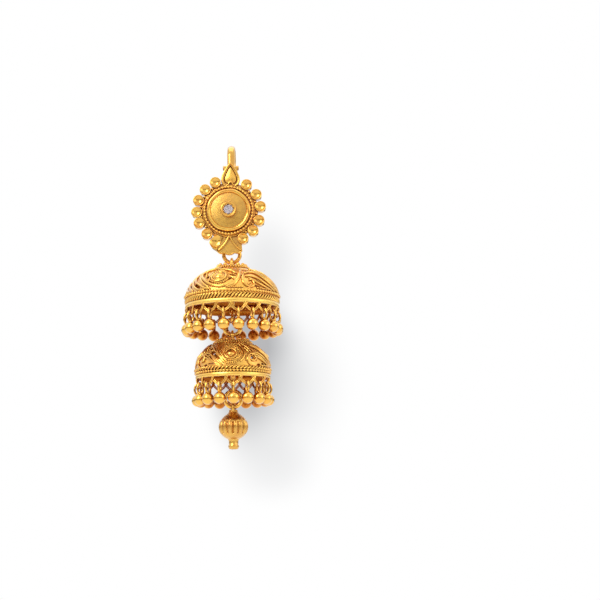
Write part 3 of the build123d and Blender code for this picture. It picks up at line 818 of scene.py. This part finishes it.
def milled(shape, bell, radius, height, grain_r, spacing):
    """A beaded wire round the bell: grains on a fine core."""
    count = round(2 * math.pi * radius / spacing)
    shape.balls(bell.around(radius, height, count), grain_r)
    shape.tube(bell.around(radius, height, 120), grain_r * 0.4, 6, True)


def plain_band(shape, bell):
    """The plain band, and the seat of the ropes above it."""
    rim, top = bell.rim_r, bell.band_top
    seat_r = rim - 0.34
    shape.turned([(rim - 0.5, 0), (rim - 0.07, 0), (rim, 0.05), (rim + 0.02, top / 2),
                  (rim, top - 0.05), (rim - 0.07, top), (seat_r, top), (seat_r, bell.rope_top),
                  (rim - 0.6, bell.rope_top)], bell.foot, 160)


def crown_and_stem(shape, bell):
    """The crown, and the stem inside the bell with an eye at each end."""
    crown, base = bell.crown_r, bell.base
    under = base - 0.35
    shape.turned([(0, under), (crown - 0.35, under), (crown + 0.05, base - 0.08),
                  (crown, base + 0.08), (crown - 0.18, base + 0.2),
                  (crown - 0.26, bell.crown_top - 0.3), (crown - 0.32, bell.crown_top - 0.12),
                  (crown - 0.45, bell.crown_top - 0.04),
                  (crown - 1.0, bell.crown_top - 0.06), (0, bell.crown_top - 0.02)], bell.foot, 96)
    lower_eye = pivot(bell.next_swing) + UP * EYE_ABOVE_PIVOT
    stem_foot = lower_eye[2] - bell.foot[2] + EYE_R - 0.05
    stem = [(0, under + 0.05), (0.75, under + 0.05), (0.62, under - 0.25), (0.42, under - 0.5)]
    for share in (0.35, 0.7):
        knop = stem_foot + (under - stem_foot) * (1 - share)
        stem += [(0.42, knop + 0.16), (0.55, knop + 0.06), (0.55, knop - 0.06),
                 (0.42, knop - 0.16)]
    stem += [(0.42, stem_foot + 0.3), (0.5, stem_foot + 0.08), (0.3, stem_foot - 0.1),
             (0, stem_foot - 0.12)]
    shape.turned(stem, bell.foot, 24)
    upper_eye = pivot(bell.swing) - UP * EYE_RISE
    for eye in (upper_eye, lower_eye):
        shape.hoop(eye, EYE_R, EYE_WIRE_R, (0, 1, 0), UP, 48, 12)


FRINGE_WIRE_R = 0.105
FRINGE_WIRE_X = 0.115         # from the middle of a loop to each of its two wires
FRINGE_LEAN = 0.13            # how far one side of a loop stands before its neighbour's


def fringe_loops(shape, bell):
    """U-shaped loops of two thin wires side by side; each crosses its neighbours at the band."""
    half = bell.drop_ring_r * math.pi / bell.drops
    side = [(half + 0.22, 0.06), (half - 0.05, -0.42), (0.55 * half, -0.98)]
    knots = np.array([(-x, z) for x, z in side] + [(0, LOOP_LOW)] + side[::-1])
    line = smooth(knots, 33)
    way = np.gradient(line, axis=0)
    way /= np.linalg.norm(way, axis=1)[:, None]
    across = np.stack([way[:, 1], -way[:, 0]], 1)
    for i in range(bell.drops):
        turn = math.radians(bell.drop_first + 360 * i / bell.drops)
        along = np.array([math.cos(turn), math.sin(turn), 0])
        out = np.array([math.sin(turn), -math.cos(turn), 0])
        for hand in (-1, 1):
            flat = line + across * hand * FRINGE_WIRE_X
            lean = (FRINGE_LEAN * np.sign(line[:, :1])
                    * np.clip((line[:, 1:] + 0.9) / 0.6, 0, 1))
            path = (bell.foot + out * (bell.drop_ring_r + lean) + along * flat[:, :1]
                    + UP * flat[:, 1:])
            shape.tube(path, FRINGE_WIRE_R, 8)


def crown_grains(shape, bell, table):
    """Rings of granules on the crown."""
    for radius, height, grain_r, count, first in table:
        shape.balls(bell.around(radius, height, count, first), grain_r)


def medallion_grains(shape, bell, level, table, rise=0.08):
    """Rings of granules round each medallion's middle."""
    for start in bell.repeats():
        for ring_r, grain_r, count in table:
            line = bell.circle(start, level, ring_r, count)
            shape.balls(bell.wall(line[:, 0], line[:, 1], rise)[0], grain_r)


def build_bell(bell, gaps, wires, medallion, grains, crown):
    """All the pieces of one bell but its ropes."""
    name, body = bell.name, bell.body
    level, boss_r, boss_high, rings, grain_rings = medallion
    wall = add_piece(f"{name}_wall", f"{name}_wall_gold", body,
                     (wall_shell, bell, gaps, WALL_STEPS[name]), slot="satin_gold")
    thick = wall.modifiers.new("wall", "SOLIDIFY")
    thick.thickness = WALL * MM
    thick.offset = -1
    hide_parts(f"{name}_dome")
    add_piece(f"{name}_band", f"{name}_band_gold", body, (plain_band, bell), slot="satin_gold")
    add_piece(f"{name}_crown", "polished_gold", body, (crown_and_stem, bell))
    add_piece(f"{name}_filigree", "polished_gold", body, (wall_wires, bell, wires),
              (wall_rings, bell, level, rings), (medallion_boss, bell, level, boss_r, boss_high))
    add_piece(f"{name}_granules", "polished_gold", body, (wall_grains, bell, grains),
              (medallion_grains, bell, level, grain_rings), (crown_grains, bell, crown))
    add_piece(f"{name}_loops", f"{name}_loop_gold", body, (fringe_loops, bell),
              slot="polished_gold")


def medallion_boss(shape, bell, level, radius, high):
    """The raised, slightly flattened boss in the middle of each medallion."""
    share = np.radians(np.linspace(0, 90, 9))
    for start in bell.repeats():
        rings = []
        for climb in share:
            line = bell.circle(start, level, max(radius * math.cos(climb), 1e-4), 32)
            places, _ = bell.wall(line[:, 0], line[:, 1], high * math.sin(climb))
            rings.append(places)
        shape.loft(np.array(rings))


def add_ropes():
    """The twisted rope and beaded wire over the upper band, and finer ones over the lower."""
    middle = (UPPER.band_top + UPPER.rope_top) / 2
    add_piece("upper_ropes", "polished_gold", UPPER.body,
              (rope, UPPER, UPPER.rim_r - 0.24, middle, 0.38, 0.20, 3, 28, 0.165),
              (milled, UPPER, UPPER.rim_r, UPPER.rope_top + 0.24, 0.245, 0.55),
              (wall_band, UPPER, *UPPER_CRESCENT, 0.30))
    add_piece("lower_ropes", "polished_gold", LOWER.body,
              (rope, LOWER, LOWER.rim_r - 0.02, LOWER.band_top + 0.74, 0.18, 0.15, 2, 31, 0.15),
              (milled, LOWER, LOWER.rim_r - 0.03, LOWER.band_top + 0.25, 0.24, 0.56))


# ---------------------------------------------------------------- drops

def one_drop(shape):
    """A ball under an oval eye that is seen edge on; its loop's ring is at the origin."""
    shape.hoop((0, 0, -EYE_DROP), DROP_EYE_HALF_W, DROP_WIRE_R, (0, 1, 0), UP, 40, 10,
               DROP_EYE_HALF_H / DROP_EYE_HALF_W)
    top = BALL_R - BALL_DROP
    neck = [(0, top + 0.22), (0.2, top + 0.2), (0.33, top + 0.1), (0.35, top - 0.02),
            (0.26, top - 0.1)]
    around = np.radians(np.linspace(15, 180, 23))
    ball = [(BALL_R * math.sin(a), BALL_R * math.cos(a) - BALL_DROP) for a in around[:-1]]
    shape.turned(neck + ball + [(0, -BALL_DROP - BALL_R)], (0, 0, 0), 32)


def hang_drops(bell):
    """One drop for each loop of the fringe, all of one mesh."""
    shape = Shape()
    one_drop(shape)
    mesh = shape.mesh(f"{bell.name}_drop", "drop_gold")
    for i in range(bell.drops):
        name = f"{bell.name}_drop_{i + 1:02d}"
        turn = bell.drop_first + 360 * i / bell.drops
        piece = bpy.data.objects.new(f"{name}_ball", mesh)
        bpy.context.scene.collection.objects.link(piece)
        piece.location = bell.around(bell.drop_ring_r, 0, 1, turn)[0] * MM
        piece.rotation_euler = (0, 0, math.radians(turn))
        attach(piece, bell.body)
        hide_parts(name)


GADROON_DEEP = 0.46
GADROON_HALF_H = 1.15         # half the height of the gadroons,
GADROON_FADE = 0.35           # the part of it in which they fade out,
GADROON_Z = -0.12             # and their middle


def melon(shape):
    """The end drop: eye, flared neck, body with upright gadroons, and the short tube below it."""
    link = pivot("melon_swing")
    eye = link - UP * EYE_RISE
    shape.hoop(eye, EYE_R, EYE_WIRE_R, (0, 1, 0), UP, 48, 12)
    low, _ = node_box("melon_drop")
    centre = np.array([link[0], link[1], low[2] + MELON_FOOT])
    knots = [(0.70, 2.80), (0.76, 2.50), (0.98, 2.20), (1.46, 1.86), (2.05, 1.26), (2.38, 0.55),
             (2.45, -0.05), (2.30, -0.75), (1.85, -1.42), (1.32, -1.84), (0.95, -2.04),
             (0.80, -2.35)]
    profile = smooth(knots, 110)
    steps = 196
    turn = 2 * np.pi * np.arange(steps) / steps
    window = (GADROON_HALF_H - np.abs(profile[:, 1] - GADROON_Z)) / GADROON_FADE
    window = np.clip(window, 0, 1)
    window = window * window * (3 - 2 * window)
    lobes = np.abs(np.sin(GADROONS * turn / 2)) ** 0.8
    reach = profile[:, :1] - GADROON_DEEP * window[:, None] * (1 - lobes[None])
    rings = np.stack([reach * np.sin(turn), -reach * np.cos(turn),
                      np.broadcast_to(profile[:, 1:], reach.shape)], 2) + centre
    shape.loft(rings)
    shape.turned([(0, 2.98), (0.40, 2.94), (0.64, 2.86), (0.72, 2.76), (0.6, 2.5), (0, 2.5)],
                 centre, 40)
    shape.turned([(0, -2.2), (0.84, -2.2), (0.79, -2.4), (0.78, -2.96), (0.86, -3.04),
                  (0.90, -3.16), (0.88, -3.36), (0.80, -3.44), (0.78, -3.56), (0.66, -3.68),
                  (0.42, -3.7), (0.38, -3.62), (0, -3.6)], centre, 48)


# ---------------------------------------------------------------- the rosette

def rosette_plane():
    """A function that gives places on the rosette: across, up and forward of its back face."""
    low, high = node_box("stone")
    middle = (low + high) / 2
    back_y = low[1] + STONE_FRONT

    def place(across, up, forward):
        """Places in millimetres."""
        across, up, forward = np.broadcast_arrays(across, up, forward)
        return np.stack([middle[0] + across, back_y - forward, middle[2] + up], -1)
    return place


def rosette_wires(shape):
    """The beaded wire, the rims of the cups, the petal's edge and arch, and the fan's ribs."""
    place = rosette_plane()
    front = np.array([0, -1.0, 0])

    def laid(knots, depth, wire_r):
        """A wire through knots of (across, up), that far forward of the back."""
        length = np.linalg.norm(np.diff(np.array(knots, float), axis=0), axis=1).sum()
        line = smooth(knots, max(10, int(length / LAID_STEP)))
        path = place(line[:, 0], line[:, 1], depth)
        shape.tube(path, wire_r, 10, normals=np.broadcast_to(front, path.shape))

    turn = np.radians(CUP_ANGLES)
    for x, z in zip(CUP_RING_R * np.sin(turn), CUP_RING_R * np.cos(turn)):
        shape.hoop(place(x, z, CUP_T - 0.02), CUP_R, 0.10, steps=32, sides=8)
    for ring_r, depth, wire_r in (DRUM_WIRE, SETTING_WIRE):
        shape.hoop(place(0, 0, depth), ring_r, wire_r, steps=120, sides=14)
    # the collar is hammered by hand, and a little uneven
    around = 2 * np.pi * np.arange(120) / 120
    uneven = 0.030 * np.sin(5 * around + 0.6) + 0.022 * np.sin(9 * around + 2.0)
    path = place((COLLAR_R + uneven) * np.cos(around), (COLLAR_R + uneven) * np.sin(around),
                 1.36 + 0.020 * np.sin(7 * around))
    shape.tube(path, 0.35 + 0.5 * uneven, 16, True, np.broadcast_to(front, path.shape))
    # petal: a bright edge, and a small arch over the notch at its foot
    edge = [(0.75, 4.3), (1.25, 4.72), (1.46, 5.4), (1.30, 6.2), (0.93, 7.0), (0.45, 7.85),
            (0, 8.4)]
    for hand in (1, -1):
        laid([(PETAL_X + hand * x, z) for x, z in edge], 0.92, 0.16)
    arch = [(-0.75, 4.3), (-0.42, 4.62), (-0.22, 4.95), (0, 5.12), (0.22, 4.95), (0.42, 4.62),
            (0.75, 4.3)]
    laid([(PETAL_X + x, z) for x, z in arch], 0.92, 0.13)
    # fan: two ribs from its apex to its corners
    for hand in (-1, 1):
        rib = [(0, -4.25), (0.42, -5.1), (0.95, -5.9), (1.9, -6.85)]
        laid([(FAN_X + hand * x, z) for x, z in rib], 0.80, 0.17)
    laid([(-2.1, -6.85), (-1.5, -7.32), (-0.8, -7.22), (0.05, -7.55), (0.9, -7.22), (1.6, -7.32),
          (2.2, -6.85)], 0.52, 0.12)


def petal_panel(shape):
    """The smooth swelling panel inside the petal's bright edge."""
    place = rosette_plane()
    edge = smooth([(0.0, 4.75), (0.72, 4.85), (1.12, 5.4), (1.02, 6.1), (0.70, 6.9), (0.30, 7.65),
                   (0, 7.95), (-0.30, 7.65), (-0.70, 6.9), (-1.02, 6.1), (-1.12, 5.4),
                   (-0.72, 4.85)], 60, True)
    middle = np.array([0.0, 5.9])
    rings = []
    for share in np.linspace(1, 0.02, 9):
        line = middle + (edge - middle) * share
        swell = 0.62 + 0.34 * (1 - share ** 2) ** 0.6
        rings.append(place(PETAL_X + line[:, 0], line[:, 1], swell))
    shape.loft(np.array(rings))


def rosette_grains(shape):
    """The beads of the wire round the collar, grains between the cups and in the setting."""
    place = rosette_plane()
    turn = 2 * np.pi * np.arange(BEADS) / BEADS
    shape.balls(place(BEAD_RING_R * np.cos(turn), BEAD_RING_R * np.sin(turn), 1.20), 0.25)
    angles = np.array(CUP_ANGLES, float)
    between = np.radians((angles[:-1] + angles[1:]) / 2)[np.diff(angles) < 40]
    seats = SEAT_GRAIN_RING_R * np.sin(between), SEAT_GRAIN_RING_R * np.cos(between)
    shape.balls(place(*seats, 0.82), 0.26)
    prongs = np.radians(22.5 + 45 * np.arange(PRONGS))
    shape.balls(place(PRONG_RING_R * np.cos(prongs), PRONG_RING_R * np.sin(prongs), 2.12), 0.11)


# ---------------------------------------------------------------- the stage

def area_light(name, place, aim, size, power, colour):
    """A square area light in metres, aimed at a point."""
    data = bpy.data.lights.new(name, "AREA")
    data.shape = "SQUARE"
    data.size = size
    data.energy = power
    data.color = colour
    lamp = bpy.data.objects.new(name, data)
    lamp.location = place
    lamp.rotation_mode = "QUATERNION"
    lamp.rotation_quaternion = (Vector(aim) - Vector(place)).to_track_quat("-Z", "Y")
    bpy.context.scene.collection.objects.link(lamp)


def blot(tree, place, across, up, half_wide, half_high):
    """1 in the middle of an oval of painted shadow on the backdrop and 0 outside it."""
    off = vector(tree, "SUBTRACT", place, (across, up, 0))
    reach = vector(tree, "LENGTH",
                   vector(tree, "MULTIPLY", off, (1 / half_wide, 1 / half_high, 0)))
    share = node(tree, "ShaderNodeMapRange",
                 {"Value": reach, "From Min": 0.0, "From Max": 1.0,
                  "To Min": 1.0, "To Max": 0.0}, interpolation_type="SMOOTHERSTEP")
    return share.outputs["Result"]


# Painted soft grey shadows of the earring on the backdrop. Columns: place across and up from the
# middle of the view, half width and half height, as shares of the view's width, and colour.
PAINTED_SHADOWS = [
    (-0.080, -0.109, 0.115, 0.194, (0.701, 0.704, 0.712)),
    (-0.038, -0.143, 0.151, 0.181, (0.833, 0.836, 0.842)),
    (-0.055, 0.055, 0.085, 0.126, (0.843, 0.845, 0.85)),
    (-0.046, -0.276, 0.107, 0.084, (0.882, 0.884, 0.888)),
    (-0.085, -0.062, 0.107, 0.085, (0.665, 0.668, 0.676)),
    (-0.101, -0.138, 0.072, 0.169, (0.764, 0.767, 0.774)),
]


def view_axes(stage):
    """The camera's turn, and its right, up and back directions."""
    back = Vector((0, -math.cos(stage.elevation), math.sin(stage.elevation)))
    turn = (-back).to_track_quat("-Z", "Y")
    turn.rotate(Quaternion(back, stage.roll))
    return turn, [turn @ Vector(axis) for axis in ((1, 0, 0), (0, 1, 0), (0, 0, 1))]


# The colours of the soft light from below and from above, and the darkest grey that the painted
# shadows give the backdrop
LIGHT_BELOW = (0.58, 0.51, 0.38)
LIGHT_ABOVE = (0.90, 0.89, 0.87)
DARKEST_PAINTED_SHADOW = (0.48, 0.48, 0.49, 1)


def studio_world(stage):
    """Soft light from all round, and the white backdrop with its painted grey shadows, which
    reflections show too.
    """
    world = bpy.data.worlds.new("studio")
    world.use_nodes = True
    tree = world.node_tree
    tree.nodes.clear()
    output = tree.nodes.new("ShaderNodeOutputWorld")
    way = coordinate(tree, "Generated")
    lit = ramp(tree, spread(tree, part(tree, way, "Z"), 0.0, 1.0, -1.0, 1.0),
               (0.43, LIGHT_BELOW), (0.58, LIGHT_ABOVE))
    _, (right, up, back) = view_axes(stage)
    across, high, ahead = (vector(tree, "DOT_PRODUCT", way, axis) for axis in (right, up, -back))
    # places on the backdrop are shares of the view's width
    ahead = number(tree, "MAXIMUM", ahead, 0.001)
    ahead = number(tree, "MULTIPLY", ahead, stage.field / stage.distance)
    place = node(tree, "ShaderNodeCombineXYZ", {"X": number(tree, "DIVIDE", across, ahead),
                                                "Y": number(tree, "DIVIDE", high, ahead)})
    backdrop = (1, 1, 1, 1)
    # painted shadows: each oval darkens the white backdrop
    for *oval, colour in PAINTED_SHADOWS:
        backdrop = mixed(tree, blot(tree, place.outputs[0], *oval), backdrop,
                         mixed(tree, 1.0, backdrop, (*colour, 1), "MULTIPLY"))
    backdrop = mixed(tree, 1.0, backdrop, DARKEST_PAINTED_SHADOW, "LIGHTEN")
    ray = node(tree, "ShaderNodeLightPath")
    shown = number(tree, "MAXIMUM", ray.outputs["Is Camera Ray"], ray.outputs["Is Glossy Ray"])
    shown = number(tree, "MAXIMUM", shown, ray.outputs["Is Transmission Ray"])
    seen = mixed(tree, shown, lit, backdrop)
    light = node(tree, "ShaderNodeBackground", {"Color": seen, "Strength": 1.0})
    tree.links.new(light.outputs["Background"], output.inputs["Surface"])
    bpy.context.scene.world = world


FLOOR_R = 1.2
FADE_START = 0.03             # the floor starts to fade to white this far out, in metres,
FADE_END = 0.18               # and is white here


def pale_floor(height):
    """A pale floor that keeps its shadows near the earring and fades to white far off."""
    bpy.ops.mesh.primitive_circle_add(vertices=96, radius=FLOOR_R, fill_type="NGON",
                                      location=(0, 0, height))
    floor = bpy.context.object
    floor.name = "floor"
    material, tree, output = new_material("floor")
    place = coordinate(tree, "Object")
    pale = ramp(tree, noise(tree, place, 300, 3),
                (0.3, (0.86, 0.86, 0.87)), (0.7, (0.90, 0.90, 0.91)))
    cloth = node(tree, "ShaderNodeBsdfDiffuse", {"Color": pale})
    glow = node(tree, "ShaderNodeEmission", {"Color": (1, 1, 1, 1), "Strength": 1.0})
    fade = spread(tree, vector(tree, "LENGTH", place), 0.0, 1.0, FADE_START, FADE_END)
    both = blended(tree, fade, cloth.outputs[0], glow.outputs[0])
    tree.links.new(both, output.inputs["Surface"])
    floor.data.materials.append(material)


CARD_FAR = 0.8                # radius of the card all round, in metres
CARD_TALL = 0.14
CARD_RISE = 0.015
FRONT_CARD_R = 0.12
FRONT_CARD_FAR = 0.6


def brown_cards(middle):
    """Brown cards far out, all round at the earring's level and in front, seen in reflections
    alone: they glow though they are no lamps, and paint dark reflections into the gold.
    """
    bpy.ops.mesh.primitive_cylinder_add(vertices=96, radius=CARD_FAR, depth=CARD_TALL,
                                        end_fill_type="NOTHING",
                                        location=middle + Vector((0, 0, CARD_RISE)))
    level = bpy.context.object
    level.name = "card_level"
    bpy.ops.mesh.primitive_circle_add(vertices=48, radius=FRONT_CARD_R, fill_type="NGON",
                                      location=middle + Vector((0, -FRONT_CARD_FAR, 0)),
                                      rotation=(math.radians(90), 0, 0))
    front = bpy.context.object
    front.name = "card_front"
    material, tree, output = new_material("brown_card")
    glow_mottle = noise(tree, coordinate(tree, "Object"), 30, 3)
    brown = ramp(tree, glow_mottle, (0.3, (0.20, 0.12, 0.04)), (0.7, (0.26, 0.18, 0.08)))
    # painted reflection: a dim brown glow that the gold mirrors
    glow = node(tree, "ShaderNodeEmission", {"Color": brown, "Strength": 1.0})
    tree.links.new(glow.outputs[0], output.inputs["Surface"])
    for card in (level, front):
        card.data.materials.append(material)
        card.visible_camera = card.visible_diffuse = card.visible_shadow = False
        card.visible_transmission = False


AIM = Vector((0.01150, -0.0035, -0.02725))


def add_camera(stage):
    """The camera, a little below the earring and looking up at it."""
    lens = bpy.data.cameras.new("camera")
    camera = bpy.data.objects.new("camera", lens)
    bpy.context.scene.collection.objects.link(camera)
    lens.sensor_width = 36
    lens.lens = lens.sensor_width * stage.distance / stage.field
    turn, (_, _, back) = view_axes(stage)
    camera.location = AIM + back * stage.distance
    camera.rotation_mode = "QUATERNION"
    camera.rotation_quaternion = turn
    lens.clip_start, lens.clip_end = 0.005, 10
    bpy.context.scene.camera = camera


# Lights. Columns: name and place, size in metres, and colour.
LIGHTS = [
    ("key", (-0.15, -0.20, 0.14), 0.14, (1.0, 0.98, 0.96)),
    ("fill", (0.22, -0.10, 0.04), 0.16, (1.0, 0.97, 0.93)),
    ("top", (0.0, 0.04, 0.24), 0.26, (1.0, 1.0, 1.0)),
]
FLOOR_BELOW = 0.045           # from the floor up to the earring's lowest point, in metres


# ---------------------------------------------------------------- the add-on

class JhumkaLooks(PropertyGroup):
    """Colours and polish."""
    gold: FloatVectorProperty(
        name="Gold", description="Colour of the polished gold", subtype="COLOR",
        default=(0.88, 0.50, 0.055), min=0, max=1)
    satin: FloatVectorProperty(
        name="Satin gold", description="Colour of the satin gold", subtype="COLOR",
        default=(0.87, 0.48, 0.050), min=0, max=1)
    # painted shade: the colour that the gold darkens to in narrow hollows
    hollow_shade: FloatVectorProperty(
        name="Hollows", description="Colour of the gold in narrow hollows", subtype="COLOR",
        default=(0.36, 0.09, 0.004), min=0, max=1)
    stone: FloatVectorProperty(
        name="Stone", description="Colour of the stone", subtype="COLOR",
        default=(0.66, 0.58, 0.62), min=0, max=1)
    polish: FloatProperty(
        name="Polish", description="Roughness of the polished gold", subtype="FACTOR",
        default=0.18, min=0, max=1)
    satin_roughness: FloatProperty(
        name="Satin", description="Roughness of the satin gold", subtype="FACTOR",
        default=0.36, min=0, max=1)


class JhumkaStage(PropertyGroup):
    """Camera and lights."""
    distance: FloatProperty(
        name="Distance", description="From the camera to the earring", unit="LENGTH",
        default=0.200, min=0.05)
    field: FloatProperty(
        name="Field", description="Width that the camera sees at the earring", unit="LENGTH",
        default=0.1015, min=0.01)
    elevation: FloatProperty(
        name="Elevation", description="How far the camera stands above the earring's level",
        subtype="ANGLE", default=math.radians(-9.5))
    roll: FloatProperty(
        name="Roll", description="Turn of the camera about its own axis", subtype="ANGLE",
        default=math.radians(-1.1))
    key_power: FloatProperty(
        name="Key light", description="Power of the main light", unit="POWER", default=0.40, min=0)
    fill_power: FloatProperty(
        name="Fill light", description="Power of the light from the right", unit="POWER",
        default=0.10, min=0)
    top_power: FloatProperty(
        name="Top light", description="Power of the light above", unit="POWER",
        default=0.22, min=0)


class JHUMKA_OT_dress_rosette(Operator):
    """Adds the rosette's wires and grains, and gives the rosette and its stone their finish"""
    bl_idname = "jhumka.dress_rosette"
    bl_label = "Dress the Rosette"

    def execute(self, context):
        dress("rosette_gold", "rosette")
        dress("clear_stone", "stone")
        body = "rosette_body"
        add_piece("rosette_wires", "polished_gold", body, (rosette_wires,))
        add_piece("petal_panel", "satin_gold", body, (petal_panel,))
        add_piece("rosette_grains", "polished_gold", body, (rosette_grains,))
        return {"FINISHED"}


class JHUMKA_OT_dress_links(Operator):
    """Gives the ear wire and the links of the chain their polish"""
    bl_idname = "jhumka.dress_links"
    bl_label = "Dress the Ear Wire and Links"

    def execute(self, context):
        dress("wire_gold", "ear_hook")
        dress("polished_gold", "top_link", "mid_link", "bottom_link")
        return {"FINISHED"}


class JHUMKA_OT_add_bells(Operator):
    """Adds both bells: pierced walls, filigree, granules, bands, crowns and fringe loops"""
    bl_idname = "jhumka.add_bells"
    bl_label = "Add the Bells"

    def execute(self, context):
        build_bell(UPPER, UPPER_GAPS, UPPER_WIRES, UPPER_MEDALLION, UPPER_GRAINS, UPPER_CROWN)
        build_bell(LOWER, LOWER_GAPS, LOWER_WIRES, LOWER_MEDALLION, LOWER_GRAINS, LOWER_CROWN)
        add_ropes()
        return {"FINISHED"}


class JHUMKA_OT_hang_drops(Operator):
    """Hangs a ball drop in each loop of both fringes"""
    bl_idname = "jhumka.hang_drops"
    bl_label = "Hang the Drops"

    def execute(self, context):
        for bell in (UPPER, LOWER):
            hang_drops(bell)
        return {"FINISHED"}


class JHUMKA_OT_add_melon(Operator):
    """Adds the fluted end drop"""
    bl_idname = "jhumka.add_melon"
    bl_label = "Add the End Drop"

    def execute(self, context):
        piece = add_piece("melon", "melon_gold", "melon_body", (melon,), slot="polished_gold")
        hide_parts("melon_drop")
        return {"FINISHED"}


class JHUMKA_OT_set_stage(Operator):
    """Adds the floor, the studio world, the lights and the camera"""
    bl_idname = "jhumka.set_stage"
    bl_label = "Set the Stage"

    def execute(self, context):
        stage = context.scene.jhumka_stage
        context.scene.view_settings.view_transform = "Standard"
        low, high = CAD_BOX
        middle = (low + high) / 2
        studio_world(stage)
        for name, place, size, colour in LIGHTS:
            area_light(name, place, middle, size, getattr(stage, f"{name}_power"), colour)
        pale_floor(low.z - FLOOR_BELOW)
        brown_cards(middle)
        add_camera(stage)
        return {"FINISHED"}


STEPS = (JHUMKA_OT_dress_rosette, JHUMKA_OT_dress_links, JHUMKA_OT_add_bells,
         JHUMKA_OT_hang_drops, JHUMKA_OT_add_melon, JHUMKA_OT_set_stage)


class JHUMKA_PT_earring(Panel):
    """Lists the steps that dress the earring"""
    bl_idname = "JHUMKA_PT_earring"
    bl_label = "Jhumka Earring"
    bl_space_type = "VIEW_3D"
    bl_region_type = "UI"
    bl_category = "Jhumka"

    def draw(self, context):
        for group in (context.scene.jhumka_looks, context.scene.jhumka_stage):
            for name in group.bl_rna.properties.keys():
                if name not in ("rna_type", "name"):
                    self.layout.prop(group, name)
        for step in STEPS:
            self.layout.operator(step.bl_idname)


CLASSES = (JhumkaLooks, JhumkaStage, *STEPS, JHUMKA_PT_earring)


def register():
    """Adds the classes and the two groups of settings to Blender."""
    for cls in CLASSES:
        bpy.utils.register_class(cls)
    bpy.types.Scene.jhumka_looks = PointerProperty(type=JhumkaLooks)
    bpy.types.Scene.jhumka_stage = PointerProperty(type=JhumkaStage)


def unregister():
    """Takes them out again."""
    del bpy.types.Scene.jhumka_stage
    del bpy.types.Scene.jhumka_looks
    for cls in reversed(CLASSES):
        bpy.utils.unregister_class(cls)


def main():
    """Registers the add-on and dresses the earring."""
    register()
    bpy.ops.jhumka.dress_rosette()
    bpy.ops.jhumka.dress_links()
    bpy.ops.jhumka.add_bells()
    bpy.ops.jhumka.hang_drops()
    bpy.ops.jhumka.add_melon()
    bpy.ops.jhumka.set_stage()


if __name__ == "__main__":
    main()
